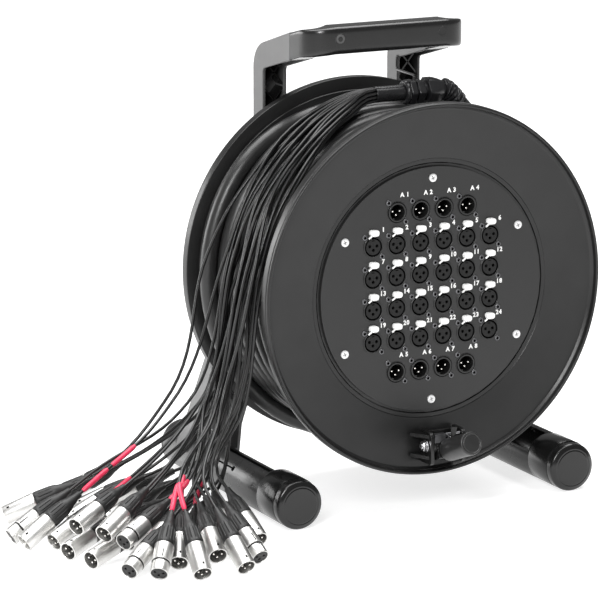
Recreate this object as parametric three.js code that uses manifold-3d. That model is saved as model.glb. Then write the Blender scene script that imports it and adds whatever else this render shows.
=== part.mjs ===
import * as THREE from 'three';
import { mergeVertices } from 'three/addons/utils/BufferGeometryUtils.js';
import Module from 'manifold-3d';

const wasm = await Module();
wasm.setup();

// All lengths are millimetres. X points right, Y back along the drum's axis, Z up.
// Inside the assembly the depth y = 0 is the face of the connector panel and z = 0 is the drum's axis.

// Clearances and cutting
const clearance = 0.3;
const runningGap = 0.6;
const overrun = 4;

// The panel's radius drives the drum: its opening, core, winding and flanges grow out from it
const panelRadius = 125;
const panelGap = 3.5;
const coreLap = 5.5;
const windingBuild = 38;
const rimStand = 18;
const groundGap = 36;
const openingRadius = panelRadius + panelGap;
const coreRadius = openingRadius + coreLap;
const windingRadius = coreRadius + windingBuild;
const flangeRadius = windingRadius + rimStand;
const axisHeight = flangeRadius + groundGap;

// Drum flanges
const rimDepth = 12.5;
const rimFront = 10.5;
const rimWall = 4;
const coveWidth = 3;
const dishFront = 2.8;
const dishBack = 2;
const sheet = 4.5;
const drumDepth = 176;
const drumSides = 40;

// Drum core, hub and axle
const coreWall = 4;
const ledgeDepth = 6;
const hubRadius = 24;
const hubReach = 50;
const hubBack = 13;
const axleRadius = 15;
const axleHeadRadius = 26;
const axleHeadDepth = 4;
const nutRadius = 23;
const nutDepth = 10;
const hubSides = 16;

// Multicore cable and its winding
const cableDiameter = 17.2;
const windingTurns = 7;
const loopSteps = 24;
const cableSides = 6;
const turnGap = 0.8;
const leadJoinAngle = 33;
const leadHandle = 12;
const leadExitSteps = 3;
const leadDriftSpan = 36;
const leadDropSpan = 30;
const leadTurnSpan = 315;
const leadStep = 15;

// Connector panel
const panelDepth = 3;
const femaleColumns = 6;
const maleColumns = 4;
const columnPitch = 26.6;
const rowPitch = 32.55;
const femaleTop = 49.2;
const maleTop = 82;
const maleBottom = 81.5;
const socketRadius = 10.8;
const socketProud = 0.8;
const socketSides = 10;
const railDepth = 2.5;
const railMargin = 1.5;
const housingDepth = 18;
const contactReach = 4;
const cupRadius = 8.4;
const cupDepth = 14;
const cupSides = 8;
const pinRadius = 1.2;
const pinTip = 2;
const pinRise = 0.9;
const pinSides = 4;

// Release tabs
const tabWidth = 9;
const tabHeight = 6;
const tabRise = 14.5;
const tabProud = 4.8;
const tabBack = 5;
const tabSlotGap = 0.5;

// Frame moulding behind the drum
const frameGap = 20;
const frameDepth = 23;
const frameFront = drumDepth + frameGap;
const frameBack = frameFront + frameDepth;
const frameWall = 3.5;
const armOuter = 92;
const armInner = 64.5;
const frameTopRise = 42;
const frameTop = flangeRadius + frameTopRise;
const shoulderHeight = 55;
const windowFloor = 75;
const legOuterMid = 148;
const legMidRise = 127.5;
const legMidDrop = axisHeight - legMidRise;
const legOuterLow = 174;
const legLowRise = 56;
const legLowDrop = axisHeight - legLowRise;
const archHalfWidth = 120;
const archHeight = 130;
const archSteps = 14;
const bossRadius = 34;
const ribThickness = 3;
const armTopRise = 58;
const armLowFrontRise = 29;
const armLowBackRise = 12;
const armLowMidRise = 25;
const armTopFront = flangeRadius + armTopRise;
const armLowFront = flangeRadius + armLowFrontRise;
const armLowBack = flangeRadius + armLowBackRise;
const armLowMid = flangeRadius + armLowMidRise;
const armLowMidReach = 49;
const armLowMidDepth = frameFront - armLowMidReach;
const cornerBevel = 15;
const cornerDrop = 26;
const armTopMidReach = 9;
const armTopMidDepth = frameFront - armTopMidReach;

// Grip across the arms
const armReach = 62;
const barReach = 47;
const barWidth = 27;
const gripSeam = frameFront - armReach;
const barFront = gripSeam - barReach;
const barBack = barFront + barWidth;
const barHeight = 28;
const barCrown = 11;
const barTop = armTopFront + barCrown;
const barBottom = barTop - barHeight;
const shoulderWidth = 13;
const barShoulder = barFront + shoulderWidth;
const gripCorner = 30;
const gripInnerCorner = 12;
const cornerSteps = 6;

// Feet
const footRadius = 25;
const footWall = 3.5;
const footAcross = 157;
const footFront = 8;
const footRearReach = 36;
const footRear = frameBack + footRearReach;
const capDepth = 12;
const capDome = 3;
const capSpigot = 10;
const rearCapDepth = 7;
const footSides = 16;
const footWindowFront = 32;
const footWindowGap = 6;
const footWindowRear = frameFront - footWindowGap;
const footWindowOuter = 166;
const footSillRise = 33;
const footWindowSill = axisHeight - footSillRise;

// Gland, sleeve and bend relief
const glandDepth = 95;
const sleeveRadius = 8.2;
const sleeveLength = 33;
const sleeveMouth = 16;
const glandAcross = 24;
const glandHeight = windingRadius + glandAcross / 2;
const glandBodyLength = 25;
const domeLength = 21;
const domeTaper = 8.6;
const reliefRibs = 6;
const reliefShare = 0.52;
const reliefSteps = 4;
const reliefRootRadius = 8.4;
const reliefTipRadius = 7;
const reliefRibHeight = 1.4;
const ribSides = 8;
const roundSides = 12;

// Wire bail that parks the gland on the right upright
const wireRadius = 1.5;
const bailRise = 11;
const bailHook = 4.5;
const bailAcross = 30;
const bailGap = 3;
const bailTop = flangeRadius + bailRise;
const bailLow = bailTop - bailHook;
const bailRearDepth = frameFront - bailGap;

// Crank
const crankCentre = 6;
const cheekThickness = 4;
const cheekSpacing = 32;
const cheekFront = 27;
const cheekHeight = 34;
const rimMargin = 14;
const cheekBottom = flangeRadius - rimMargin;
const cheekTop = cheekBottom - cheekHeight;
const crankBaseDepth = 3;
const crankBaseGap = 3.1;
const gussetReach = 16;
const gussetTopInset = 2;
const gussetBottomInset = 7.5;
const gussetTop = cheekTop + gussetTopInset;
const gussetBottom = cheekBottom - gussetBottomInset;
const pivotDepth = 17;
const pivotInset = 15;
const pivotDrop = cheekTop + pivotInset;
const boltRadius = 3;
const boltHeadRadius = 5.5;
const boltHeadLength = 5;
const crankRestAngle = 21;
const crankArmRadius = 8;
const crankOffset = 7.5;
const crankRootReach = 7.6;
const pinShaftRadius = 4;
const knobRadius = 12;
const knobLength = 50;
const knobEdge = 2.5;
const knobSides = 16;

// Fan-out tails and their plugs
const tailRadius = 1.7;
const tailSides = 8;
const plugRadius = 9.5;
const shellLength = 34;
const bootLength = 41;
const bootTipRadius = 3;
const kneeRun = 26;
const mouthStep = 3.75;
const mouthHalfWidths = [3.4, 5.2, 5.2, 3.4];
const floorGap = 0.5;

// Route of the tails, by stations: place of the innermost layer, the depths of the first and the
// last lane, and the step from one layer to the next
const tailStations = [
  { x: -57.9, z: 168.3, near: 62, far: 104, stepX: -1.4, stepZ: 4 },
  { x: -109.6, z: 140.3, near: 34, far: 100, stepX: -2.6, stepZ: 3.3 },
  { x: -151, z: 94.3, near: 20, far: 98, stepX: -3.7, stepZ: 2.3 },
  { x: -175.3, z: 30.9, near: 15, far: 94, stepX: -4.5, stepZ: 0.8 },
  { x: -200, z: -105, near: 14, far: 96, stepX: -7.6, stepZ: 0.6 },
];

// How far the two stray tails of the outer layer bow out at each station
const strayBows = { 6: [0, 0, 0, 5, 20], 7: [0, 0, 4, 14, 28] };

// Where each plug lies: its tip, how high the tip is raised, and its heading and lean in degrees
const plugPlaces = [
  [
    [-222, -58, 0, 92, 28], [-240, -32, 0, 78, 18], [-276, -8, 0, 46, 12], [-302, 26, 0, 22, 14],
    [-330, 66, 0, 12, 18], [-300, 94, 0, -4, 20], [-338, 122, 0, -18, 24], [-296, 142, 0, -30, 24],
  ],
  [
    [-256, -74, 0, 90, 28], [-300, -62, 0, 60, 16], [-330, -36, 0, 38, 18], [-340, -8, 0, 24, 12],
    [-360, 88, 0, 0, 26], [-350, 32, 0, 14, 14], [-372, 150, 0, -24, 26], [-334, 172, 0, -34, 31],
  ],
  [
    [-246, -110, 0, 96, 31], [-281, -89, 0, 80, 26], [-378, -96, 0, 34, 22], [-324, -92, 0, 63, 31],
    [-397, -49, 0, 24, 12], [-405, -12, 0, 25, 14], [-404, 25, 0, 18, 24], [-434, 62, 0, 2, 31],
  ],
  [
    [-272, -133, 0, 92, 34], [-318, -133, 0, 80, 35], [-355, -114, 0, 54, 34], [-371, -68, 20, 28, 19],
    [-384, -51, 25, 29, 23], [-398, -16, 25, 25, 19], [-430, 38, 0, 7, 32], [-411, 133, 0, -20, 24],
  ],
];

const toRadians = (degrees) => THREE.MathUtils.degToRad(degrees);

// Colours of the finishes
const blackPlastic = { color: 0x2b2c2e, roughness: 0.55, metalness: 0 };
const darkPlastic = { color: 0x1d1e20, roughness: 0.45, metalness: 0 };
const blackPaint = { color: 0x2e2f31, roughness: 0.6, metalness: 0.2 };
const blackRubber = { color: 0x1a1a1b, roughness: 0.7, metalness: 0 };
const brightSteel = { color: 0xb9babb, roughness: 0.3, metalness: 1 };
const whitePlastic = { color: 0xe9e9e6, roughness: 0.4, metalness: 0 };

const assembly = new THREE.Group();

// A geometry with merged corners whose faces point outwards
function closed(geometry) {
  geometry.deleteAttribute('normal');
  geometry.deleteAttribute('uv');
  const merged = mergeVertices(geometry);
  const corners = merged.attributes.position;
  const order = merged.index.array;
  const [a, b, c] = [new THREE.Vector3(), new THREE.Vector3(), new THREE.Vector3()];
  let volume = 0;
  for (let i = 0; i < order.length; i += 3) {
    a.fromBufferAttribute(corners, order[i]);
    b.fromBufferAttribute(corners, order[i + 1]);
    c.fromBufferAttribute(corners, order[i + 2]);
    volume += a.dot(b.cross(c));
  }
  if (volume < 0) {
    for (let i = 0; i < order.length; i += 3) {
      [order[i], order[i + 1]] = [order[i + 1], order[i]];
    }
  }
  return merged;
}

function toSolid(geometry) {
  const merged = closed(geometry);
  const mesh = new wasm.Mesh({
    numProp: 3,
    vertProperties: new Float32Array(merged.attributes.position.array),
    triVerts: new Uint32Array(merged.index.array),
  });
  return new wasm.Manifold(mesh);
}

function toGeometry(solid) {
  const mesh = solid.getMesh();
  const geometry = new THREE.BufferGeometry();
  geometry.setAttribute('position', new THREE.BufferAttribute(mesh.vertProperties, 3));
  geometry.setIndex(new THREE.BufferAttribute(mesh.triVerts, 1));
  geometry.computeVertexNormals();
  return geometry;
}

const joined = (solids) => solids.reduce((sum, next) => sum.add(next));
const cut = (solid, tools) => tools.reduce((rest, tool) => rest.subtract(tool), solid);

function addPiece(name, geometry, finish) {
  const mesh = new THREE.Mesh(geometry, new THREE.MeshStandardMaterial(finish));
  mesh.name = name;
  assembly.add(mesh);
  return mesh;
}

// A ring about the depth axis, from a closed outline of [radius, depth] points
function ring(outline, sides) {
  const points = outline.map(([radius, depth]) => new THREE.Vector2(radius, depth));
  points.push(points[0].clone());
  return closed(new THREE.LatheGeometry(points, sides));
}

// A solid of revolution about the depth axis, whose open outline starts and ends on the axis
function turned(outline, sides) {
  const points = outline.map(([radius, depth]) => new THREE.Vector2(radius, depth));
  return closed(new THREE.LatheGeometry(points, sides));
}

// A box between two corners
function box([x0, y0, z0], [x1, y1, z1]) {
  const geometry = new THREE.BoxGeometry(x1 - x0, y1 - y0, z1 - z0);
  geometry.translate((x0 + x1) / 2, (y0 + y1) / 2, (z0 + z1) / 2);
  return geometry;
}

// A plate whose outline lies in the XZ plane, from depth y0 to y1
function plate(outline, y0, y1) {
  const shape = new THREE.Shape(outline.map(([x, z]) => new THREE.Vector2(x, z)));
  const geometry = new THREE.ExtrudeGeometry(shape, { depth: y1 - y0, bevelEnabled: false });
  geometry.rotateX(Math.PI / 2);
  geometry.translate(0, y1, 0);
  return geometry;
}

// A plate whose outline [y, z] lies in a side view, from x0 to x1
function sidePlate(outline, x0, x1) {
  const shape = new THREE.Shape(outline.map(([y, z]) => new THREE.Vector2(y, z)));
  const geometry = new THREE.ExtrudeGeometry(shape, { depth: x1 - x0, bevelEnabled: false });
  const turn = new THREE.Matrix4().makeBasis(
    new THREE.Vector3(0, 1, 0), new THREE.Vector3(0, 0, 1), new THREE.Vector3(1, 0, 0));
  geometry.applyMatrix4(turn);
  geometry.translate(x0, 0, 0);
  return geometry;
}

// A plate whose outline [x, y] lies in a plan view, from z0 to z1
function planPlate(outline, z0, z1) {
  const shape = new THREE.Shape(outline.map(([x, y]) => new THREE.Vector2(x, y)));
  const geometry = new THREE.ExtrudeGeometry(shape, { depth: z1 - z0, bevelEnabled: false });
  geometry.translate(0, 0, z0);
  return geometry;
}

// A rod along the depth axis, centred on (x, z)
function depthRod(x, z, radius, y0, y1, sides) {
  const geometry = new THREE.CylinderGeometry(radius, radius, y1 - y0, sides);
  geometry.translate(x, (y0 + y1) / 2, z);
  return geometry;
}

// A rod along X, centred on (y, z), with a radius at each end and a flat underneath
function crossRod(y, z, r0, r1, x0, x1, sides) {
  const geometry = new THREE.CylinderGeometry(r1, r0, x1 - x0, sides);
  geometry.rotateY(Math.PI / sides);
  geometry.rotateZ(-Math.PI / 2);
  geometry.translate((x0 + x1) / 2, y, z);
  return geometry;
}

// An outline moved inwards by a wall, with mitred corners, for an outline that runs anticlockwise
function inset(outline, wall) {
  const count = outline.length;
  return outline.map(([x, z], i) => {
    const [px, pz] = outline[(i + count - 1) % count];
    const [nx, nz] = outline[(i + 1) % count];
    const before = new THREE.Vector2(x - px, z - pz).normalize();
    const after = new THREE.Vector2(nx - x, nz - z).normalize();
    const normalBefore = new THREE.Vector2(-before.y, before.x);
    const normalAfter = new THREE.Vector2(-after.y, after.x);
    const bisector = normalBefore.clone().add(normalAfter).normalize();
    const reach = wall / bisector.dot(normalBefore);
    return [x + bisector.x * reach, z + bisector.y * reach];
  });
}

const mirrored = (points) => points.map(([x, z]) => [-x, z]).reverse();

// Direction straight out from the drum's axis
const outward = (centre) => new THREE.Vector3(centre.x, 0, centre.z).normalize();

// A tube of rings, each square to the route, closed by a fan at both ends; start sets the first ring's way
function ringTube(centres, radii, sides, up, start) {
  const positions = [];
  const order = [];
  const last = centres.length - 1;
  centres.forEach((centre, i) => {
    const chord = centres[Math.min(i + 1, last)].clone().sub(centres[Math.max(i - 1, 0)]).normalize();
    const ahead = i === 0 && start ? start : chord;
    const side = new THREE.Vector3().crossVectors(ahead, up(centre)).normalize();
    const top = new THREE.Vector3().crossVectors(side, ahead);
    for (let k = 0; k < sides; k += 1) {
      const angle = (2 * Math.PI * (k + 0.5)) / sides;
      const corner = centre.clone()
        .addScaledVector(side, radii[i] * Math.cos(angle))
        .addScaledVector(top, radii[i] * Math.sin(angle));
      positions.push(corner.x, corner.y, corner.z);
    }
  });
  for (let i = 0; i < last; i += 1) {
    for (let k = 0; k < sides; k += 1) {
      const next = (k + 1) % sides;
      const [p, q] = [i * sides + k, i * sides + next];
      order.push(p, q, p + sides, q, q + sides, p + sides);
    }
  }
  for (const [base, way] of [[0, 1], [last * sides, -1]]) {
    for (let k = 1; k < sides - 1; k += 1) {
      const fan = way > 0 ? [base, base + k + 1, base + k] : [base, base + k, base + k + 1];
      order.push(...fan);
    }
  }
  const geometry = new THREE.BufferGeometry();
  geometry.setAttribute('position', new THREE.Float32BufferAttribute(positions, 3));
  geometry.setIndex(order);
  return closed(geometry);
}

// Drum: the front flange, dished from its rim down to the opening round the panel
const rimBack = rimDepth - rimFront;
const coveRadius = flangeRadius - rimWall - coveWidth;

function flangeOutline() {
  const inner = flangeRadius - rimWall;
  return [
    [flangeRadius, rimBack],
    [flangeRadius, -rimFront],
    [inner, -rimFront],
    [inner, -dishFront - coveWidth],
    [coveRadius, -dishFront],
    [openingRadius, dishBack],
    [openingRadius, dishBack + sheet],
  ];
}

function buildFlanges() {
  addPiece('front_flange', ring(flangeOutline(), drumSides), blackPlastic);
  const rim = flangeOutline().slice(0, -2).map(([radius, depth]) => [radius, drumDepth - depth]);
  const face = drumDepth - dishBack;
  const inside = face - sheet;
  const bore = axleRadius + clearance;
  const outline = [
    ...rim,
    [openingRadius, face],
    [hubRadius, face],
    [hubRadius, face + hubBack],
    [bore, face + hubBack],
    [bore, inside - hubReach],
    [hubRadius, inside - hubReach],
    [hubRadius, inside],
    [openingRadius, inside],
  ];
  addPiece('rear_flange', ring(outline, drumSides), blackPlastic);
}

const flangeBackFace = dishBack + sheet;
const coreFront = flangeBackFace + clearance;
const coreBack = drumDepth - flangeBackFace - clearance;
const ledgeFront = panelDepth + clearance;
const railEnd = (maleColumns * columnPitch) / 2 - railMargin;
const ledgeInner = Math.hypot(railEnd, maleTop + socketRadius - railMargin / 2) + runningGap;

function buildCore() {
  const bore = coreRadius - coreWall;
  const ledgeRadius = openingRadius - runningGap;
  const ledgeBack = ledgeFront + ledgeDepth;
  const outline = [
    [coreRadius, coreFront],
    [coreRadius, coreBack],
    [bore, coreBack],
    [bore, ledgeBack],
    [ledgeInner, ledgeBack],
    [ledgeInner, ledgeFront],
    [ledgeRadius, ledgeFront],
    [ledgeRadius, coreFront],
  ];
  addPiece('drum_core', ring(outline, drumSides), blackPlastic);
}

// Winding: inner layers as a plain sleeve, then one outer layer of turns
const cableRadius = cableDiameter / 2;
const turnRadius = windingRadius - cableRadius;
const layerFloor = turnRadius * Math.cos(Math.PI / loopSteps) - cableRadius - runningGap;
const leadDepth = coreFront + runningGap + cableRadius;

function buildWinding() {
  const inner = coreRadius + clearance;
  const front = coreFront + clearance;
  const back = coreBack - clearance;
  const sleeve = [[inner, front], [layerFloor, front], [layerFloor, back], [inner, back]];
  addPiece('winding_core', ring(sleeve, drumSides), blackRubber);

  const first = leadDepth + cableDiameter + turnGap + runningGap;
  const last = coreBack - cableRadius - runningGap;
  const steps = windingTurns * loopSteps;
  const centres = [];
  const onTurn = (angle, depth) => new THREE.Vector3(turnRadius * Math.sin(angle), depth,
    turnRadius * Math.cos(angle));
  for (let i = 0; i <= steps; i += 1) {
    centres.push(onTurn((2 * Math.PI * i) / loopSteps, first + ((last - first) * i) / steps));
  }
  // Each end runs straight for one cable diameter, as a chord of the winding
  const endAngle = 2 * Math.asin(cableRadius / turnRadius);
  const route = [onTurn(-endAngle, first), ...centres, onTurn(2 * Math.PI * windingTurns + endAngle, last)];
  const radii = route.map(() => cableRadius);
  addPiece('cable_winding', ringTube(route, radii, cableSides, outward), blackRubber);
  return route;
}

// Least gap of a route to itself, between points more than half a turn apart
function leastGap(route, apart, radius) {
  let least = Infinity;
  for (let i = 0; i < route.length; i += 1) {
    for (let j = i + apart; j < route.length; j += 1) {
      least = Math.min(least, route[i].distanceTo(route[j]));
    }
  }
  return least - 2 * radius;
}

// Places of the sockets: six columns of female and four of male ones
const femaleRows = [0, 1, 2, 3].map((row) => femaleTop - row * rowPitch);
const columns = (count) => [...Array(count).keys()].map((i) => (i - (count - 1) / 2) * columnPitch);
const maleRows = [maleTop, -maleBottom];

const tabSlot = (x, z) => {
  const halfWidth = tabWidth / 2 + tabSlotGap;
  const halfHeight = tabHeight / 2 + tabSlotGap;
  return box([x - halfWidth, -overrun, z + tabRise - halfHeight],
    [x + halfWidth, panelDepth + overrun, z + tabRise + halfHeight]);
};

function buildPanel() {
  const disc = toSolid(depthRod(0, 0, panelRadius, 0, panelDepth, drumSides));
  const hole = (x, z) => toSolid(
    depthRod(x, z, socketRadius + clearance, -overrun, panelDepth + overrun, socketSides));
  const tools = [];
  for (const z of femaleRows) {
    for (const x of columns(femaleColumns)) {
      tools.push(hole(x, z), toSolid(tabSlot(x, z)));
    }
  }
  for (const z of maleRows) {
    for (const x of columns(maleColumns)) {
      tools.push(hole(x, z));
    }
  }
  addPiece('connector_panel', toGeometry(disc.subtract(joined(tools))), blackPaint);
}

// A rail behind the panel carries one row of sockets, with their housings on its back
const railFront = panelDepth + clearance;

function socketRail(z, count) {
  const half = (count * columnPitch) / 2 - railMargin;
  const rise = socketRadius - railMargin / 2;
  const housing = socketRadius - railMargin * 2;
  return toSolid(box([-half, railFront, z - rise], [half, railFront + railDepth, z + rise]))
    .add(toSolid(box([-half + railMargin, railFront + railDepth - clearance, z - housing],
      [half - railMargin, railFront + railDepth + housingDepth, z + housing])));
}

function buildFemaleRow(name, z) {
  const barrels = columns(femaleColumns).map((x) => toSolid(
    depthRod(x, z, socketRadius, -socketProud, railFront + railDepth / 2, socketSides)));
  addPiece(name, toGeometry(joined([socketRail(z, femaleColumns), ...barrels])), darkPlastic);
}

function buildMaleRow(name, z) {
  const places = [[-contactReach, pinRise], [contactReach, pinRise], [0, pinRise - contactReach]];
  const barrels = columns(maleColumns).map((x) => toSolid(
    depthRod(x, z, socketRadius, -socketProud, railFront + railDepth / 2, socketSides)));
  const cups = columns(maleColumns).map((x) => toSolid(
    depthRod(x, z, cupRadius, -overrun, cupDepth, cupSides)));
  const pins = columns(maleColumns).flatMap((x) => places.map(([dx, dz]) => toSolid(
    depthRod(x + dx, z + dz, pinRadius, pinTip, cupDepth + railDepth, pinSides))));
  const row = joined([cut(joined([socketRail(z, maleColumns), ...barrels]), cups), ...pins]);
  addPiece(name, toGeometry(row), darkPlastic);
}

// A release tab: a button through its slot in the panel, just above its socket
function buildTab(name, x, z) {
  const [halfWidth, halfHeight] = [tabWidth / 2, tabHeight / 2];
  const centre = z + tabRise;
  addPiece(name, box([x - halfWidth, -tabProud, centre - halfHeight],
    [x + halfWidth, tabBack, centre + halfHeight]), whitePlastic);
}

function buildSockets() {
  femaleRows.forEach((z, row) => {
    buildFemaleRow(`female_sockets_row_${row + 1}`, z);
    columns(femaleColumns).forEach((x, column) => {
      buildTab(`release_tab_${row * femaleColumns + column + 1}`, x, z);
    });
  });
  buildMaleRow('male_sockets_top', maleTop);
  buildMaleRow('male_sockets_bottom', -maleBottom);
}

// Frame: one ribbed channel moulding with uprights, hub boss, spread legs and forward arms
const footDrop = axisHeight - footRadius;
const footTop = footRadius / 2;

function frameOutline() {
  const right = [
    [archHalfWidth, -footDrop],
    [footAcross + footRadius, -footDrop],
    [footAcross + footRadius, footTop - footDrop],
    [legOuterLow, -legLowDrop],
    [legOuterMid, -legMidDrop],
    [armOuter, shoulderHeight],
    [armOuter, frameTop],
    [armInner, frameTop],
    [armInner, windowFloor],
  ];
  const arch = [];
  for (let i = 1; i < archSteps; i += 1) {
    const angle = Math.PI * (1 - i / archSteps);
    arch.push([archHalfWidth * Math.cos(angle), archHeight * Math.sin(angle) - footDrop]);
  }
  return [...right, ...mirrored(right), ...arch];
}

// Side view of an arm, from the back corner forward to the grip's seam
function armOutline(front) {
  return [
    [frameFront, armLowBack],
    [armLowMidDepth, armLowMid],
    [front, armLowFront],
    [front, armTopFront],
    [armTopMidDepth, frameTop],
    [frameBack - cornerBevel, frameTop - cornerBevel / 2],
    [frameBack, frameTop - cornerDrop],
    [frameBack, armLowBack],
  ];
}

function rib(x0, z0, x1, z1) {
  const length = Math.hypot(x1 - x0, z1 - z0);
  const geometry = new THREE.BoxGeometry(length, frameBack - frameFront - frameWall, ribThickness);
  geometry.rotateY(-Math.atan2(z1 - z0, x1 - x0));
  geometry.translate((x0 + x1) / 2, (frameFront + frameBack) / 2, (z0 + z1) / 2);
  return toSolid(geometry);
}

function buildFrame() {
  const outline = frameOutline();
  const body = toSolid(plate(outline, frameFront, frameBack));
  const pocket = toSolid(plate(inset(outline, frameWall), frameFront - overrun, frameBack - frameWall));
  const cornerCut = toSolid(sidePlate([
    [frameBack, frameTop - cornerDrop],
    [frameBack + overrun, frameTop - cornerDrop],
    [frameBack + overrun, frameTop + overrun],
    [frameBack - cornerBevel - overrun, frameTop + overrun],
    [frameBack - cornerBevel, frameTop - cornerBevel / 2],
  ], -armOuter - overrun, armOuter + overrun));
  const ribs = [];
  for (const side of [-1, 1]) {
    const levels = [windowFloor, (windowFloor + armLowBack) / 2, armLowBack];
    for (let i = 0; i < 2; i += 1) {
      ribs.push(rib(side * armInner, levels[i], side * armOuter, levels[i + 1]));
      ribs.push(rib(side * armOuter, levels[i], side * armInner, levels[i + 1]));
    }
    ribs.push(rib(side * bossRadius, 0, side * (armOuter + legOuterMid) / 2, -legMidDrop / 2));
    ribs.push(rib(side * bossRadius, 0, side * armInner, windowFloor));
    ribs.push(rib(side * archHalfWidth, -legLowDrop, side * legOuterMid, -legMidDrop));
    ribs.push(rib(side * armInner, -legMidDrop, side * legOuterMid, -legMidDrop));
  }
  const arms = [-1, 1].map((side) => {
    const [x0, x1] = side > 0 ? [armInner, armOuter] : [-armOuter, -armInner];
    return toSolid(sidePlate(armOutline(gripSeam + clearance), x0, x1));
  });
  const armPockets = [-1, 1].map((side) => {
    const inner = side * (armInner + frameWall);
    const outer = side * (armOuter - frameWall);
    const top = armTopFront - frameWall;
    const back = frameFront - frameWall;
    const pocketLine = [
      [gripSeam + frameWall, armLowFront - overrun * 2],
      [back, armLowBack - overrun * 2],
      [back, frameTop - frameWall - overrun],
      [gripSeam + frameWall, top],
    ];
    return toSolid(sidePlate(pocketLine, Math.min(inner, outer), Math.max(inner, outer)));
  });
  const boss = toSolid(depthRod(0, 0, bossRadius, drumDepth - dishBack + hubBack + runningGap, frameBack,
    hubSides));
  const shell = joined([cut(body, [pocket]), ...ribs.map((one) => one.intersect(body)), boss,
    ...arms.map((one, i) => one.subtract(armPockets[i]))]);
  const bore = toSolid(depthRod(0, 0, axleRadius + clearance, 0, frameBack + overrun, hubSides));
  const saddles = [-1, 1].map((side) => footRod(side, footRadius + clearance, frameFront - overrun,
    frameBack + overrun));
  addPiece('frame_moulding', toGeometry(cut(shell, [cornerCut, bore, ...saddles])), blackPlastic);
}

// Grip: a U seen from above, cut to the rising line of the arms seen from the side
function arcPoints(x, y, radius, from, to) {
  return [...Array(cornerSteps + 1).keys()].map((i) => {
    const angle = toRadians(from + ((to - from) * i) / cornerSteps);
    return [x + radius * Math.cos(angle), y + radius * Math.sin(angle)];
  });
}

function buildGrip() {
  const outerX = armOuter - gripCorner;
  const innerX = armInner - gripInnerCorner;
  const half = [
    [armInner, gripSeam],
    [armOuter, gripSeam],
    ...arcPoints(outerX, barFront + gripCorner, gripCorner, 0, -90),
  ];
  const inner = arcPoints(innerX, barBack + gripInnerCorner, gripInnerCorner, 0, -90).reverse();
  const outline = [...inner, ...half, ...mirrored(half), ...mirrored(inner)];
  const side = [
    [gripSeam, armLowFront],
    [gripSeam, armTopFront],
    [barShoulder, barTop],
    [barFront, barTop],
    [barFront, barBottom],
    [barShoulder, barBottom],
  ];
  const plan = toSolid(planPlate(outline, armLowFront - overrun, barTop + overrun));
  const rise = toSolid(sidePlate(side, -armOuter - overrun, armOuter + overrun));
  addPiece('handle_grip', toGeometry(plan.intersect(rise)), darkPlastic);
}

// A rod along a foot, with a flat underneath whose distance from the middle is the radius
function footRod(side, radius, y0, y1) {
  const across = radius / Math.cos(Math.PI / footSides);
  const geometry = new THREE.CylinderGeometry(across, across, y1 - y0, footSides);
  geometry.rotateY(Math.PI / footSides);
  geometry.translate(side * footAcross, (y0 + y1) / 2, -footDrop);
  return toSolid(geometry);
}

// Feet: two tubes with a window in the upper inner side, closed by domed caps
function buildFoot(side, name) {
  const bore = footRadius - footWall;
  const inner = side * (footAcross - footRadius - overrun);
  const outer = side * footWindowOuter;
  const opening = toSolid(box([Math.min(inner, outer), footWindowFront, -footWindowSill],
    [Math.max(inner, outer), footWindowRear, footRadius - footDrop + overrun]));
  const tube = cut(footRod(side, footRadius, -footFront, footRear),
    [footRod(side, bore, -footFront - overrun, footRear + overrun), opening]);
  addPiece(`foot_tube_${name}`, toGeometry(tube), blackPlastic);

  const cap = (front, back, dome, spigotFrom, spigotTo) => {
    const corner = 1 / Math.cos(Math.PI / footSides);
    const [rim, tip] = [footRadius * corner, (footRadius - Math.abs(dome)) * corner];
    const [top, bottom] = dome < 0 ? [rim, tip] : [tip, rim];
    const domed = new THREE.CylinderGeometry(top, bottom, Math.abs(dome), footSides);
    domed.rotateY(Math.PI / footSides);
    domed.translate(side * footAcross, (dome < 0 ? front : back) + dome / 2, -footDrop);
    return joined([footRod(side, footRadius, front, back), toSolid(domed),
      footRod(side, bore - clearance, spigotFrom, spigotTo)]);
  };
  const capBack = -footFront - clearance;
  const capFront = capBack - capDepth + capDome;
  addPiece(`foot_cap_front_${name}`, toGeometry(cap(capFront, capBack, -capDome, capBack,
    capBack + capSpigot)), darkPlastic);
  const rearFront = footRear + clearance;
  const rearBack = rearFront + rearCapDepth - capDome;
  addPiece(`foot_cap_rear_${name}`, toGeometry(cap(rearFront, rearBack, capDome, rearFront - capSpigot,
    rearFront)), darkPlastic);
}

// Axle with its head behind the frame, and the nut that keeps the drum on it
function buildAxle() {
  const front = drumDepth - flangeBackFace - hubReach;
  const headFront = frameBack + clearance;
  const end = front - clearance - nutDepth;
  const shank = [
    [0, end],
    [axleRadius, end],
    [axleRadius, headFront],
    [axleHeadRadius, headFront],
    [axleHeadRadius, headFront + axleHeadDepth],
    [0, headFront + axleHeadDepth],
  ];
  addPiece('axle', turned(shank, hubSides), brightSteel);
  const bore = axleRadius + clearance;
  const nut = [
    [bore, end],
    [nutRadius, end],
    [nutRadius, front - clearance],
    [bore, front - clearance],
  ];
  addPiece('axle_nut', ring(nut, hubSides), brightSteel);
}

// Gland, sleeve and relief lie across the top of the winding
const hexCorner = glandAcross / 2 / Math.cos(Math.PI / 6);
const sleeveEnd = sleeveLength - sleeveMouth;
const domeStart = sleeveEnd + glandBodyLength + clearance;
const domeEnd = domeStart + domeLength;

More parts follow.
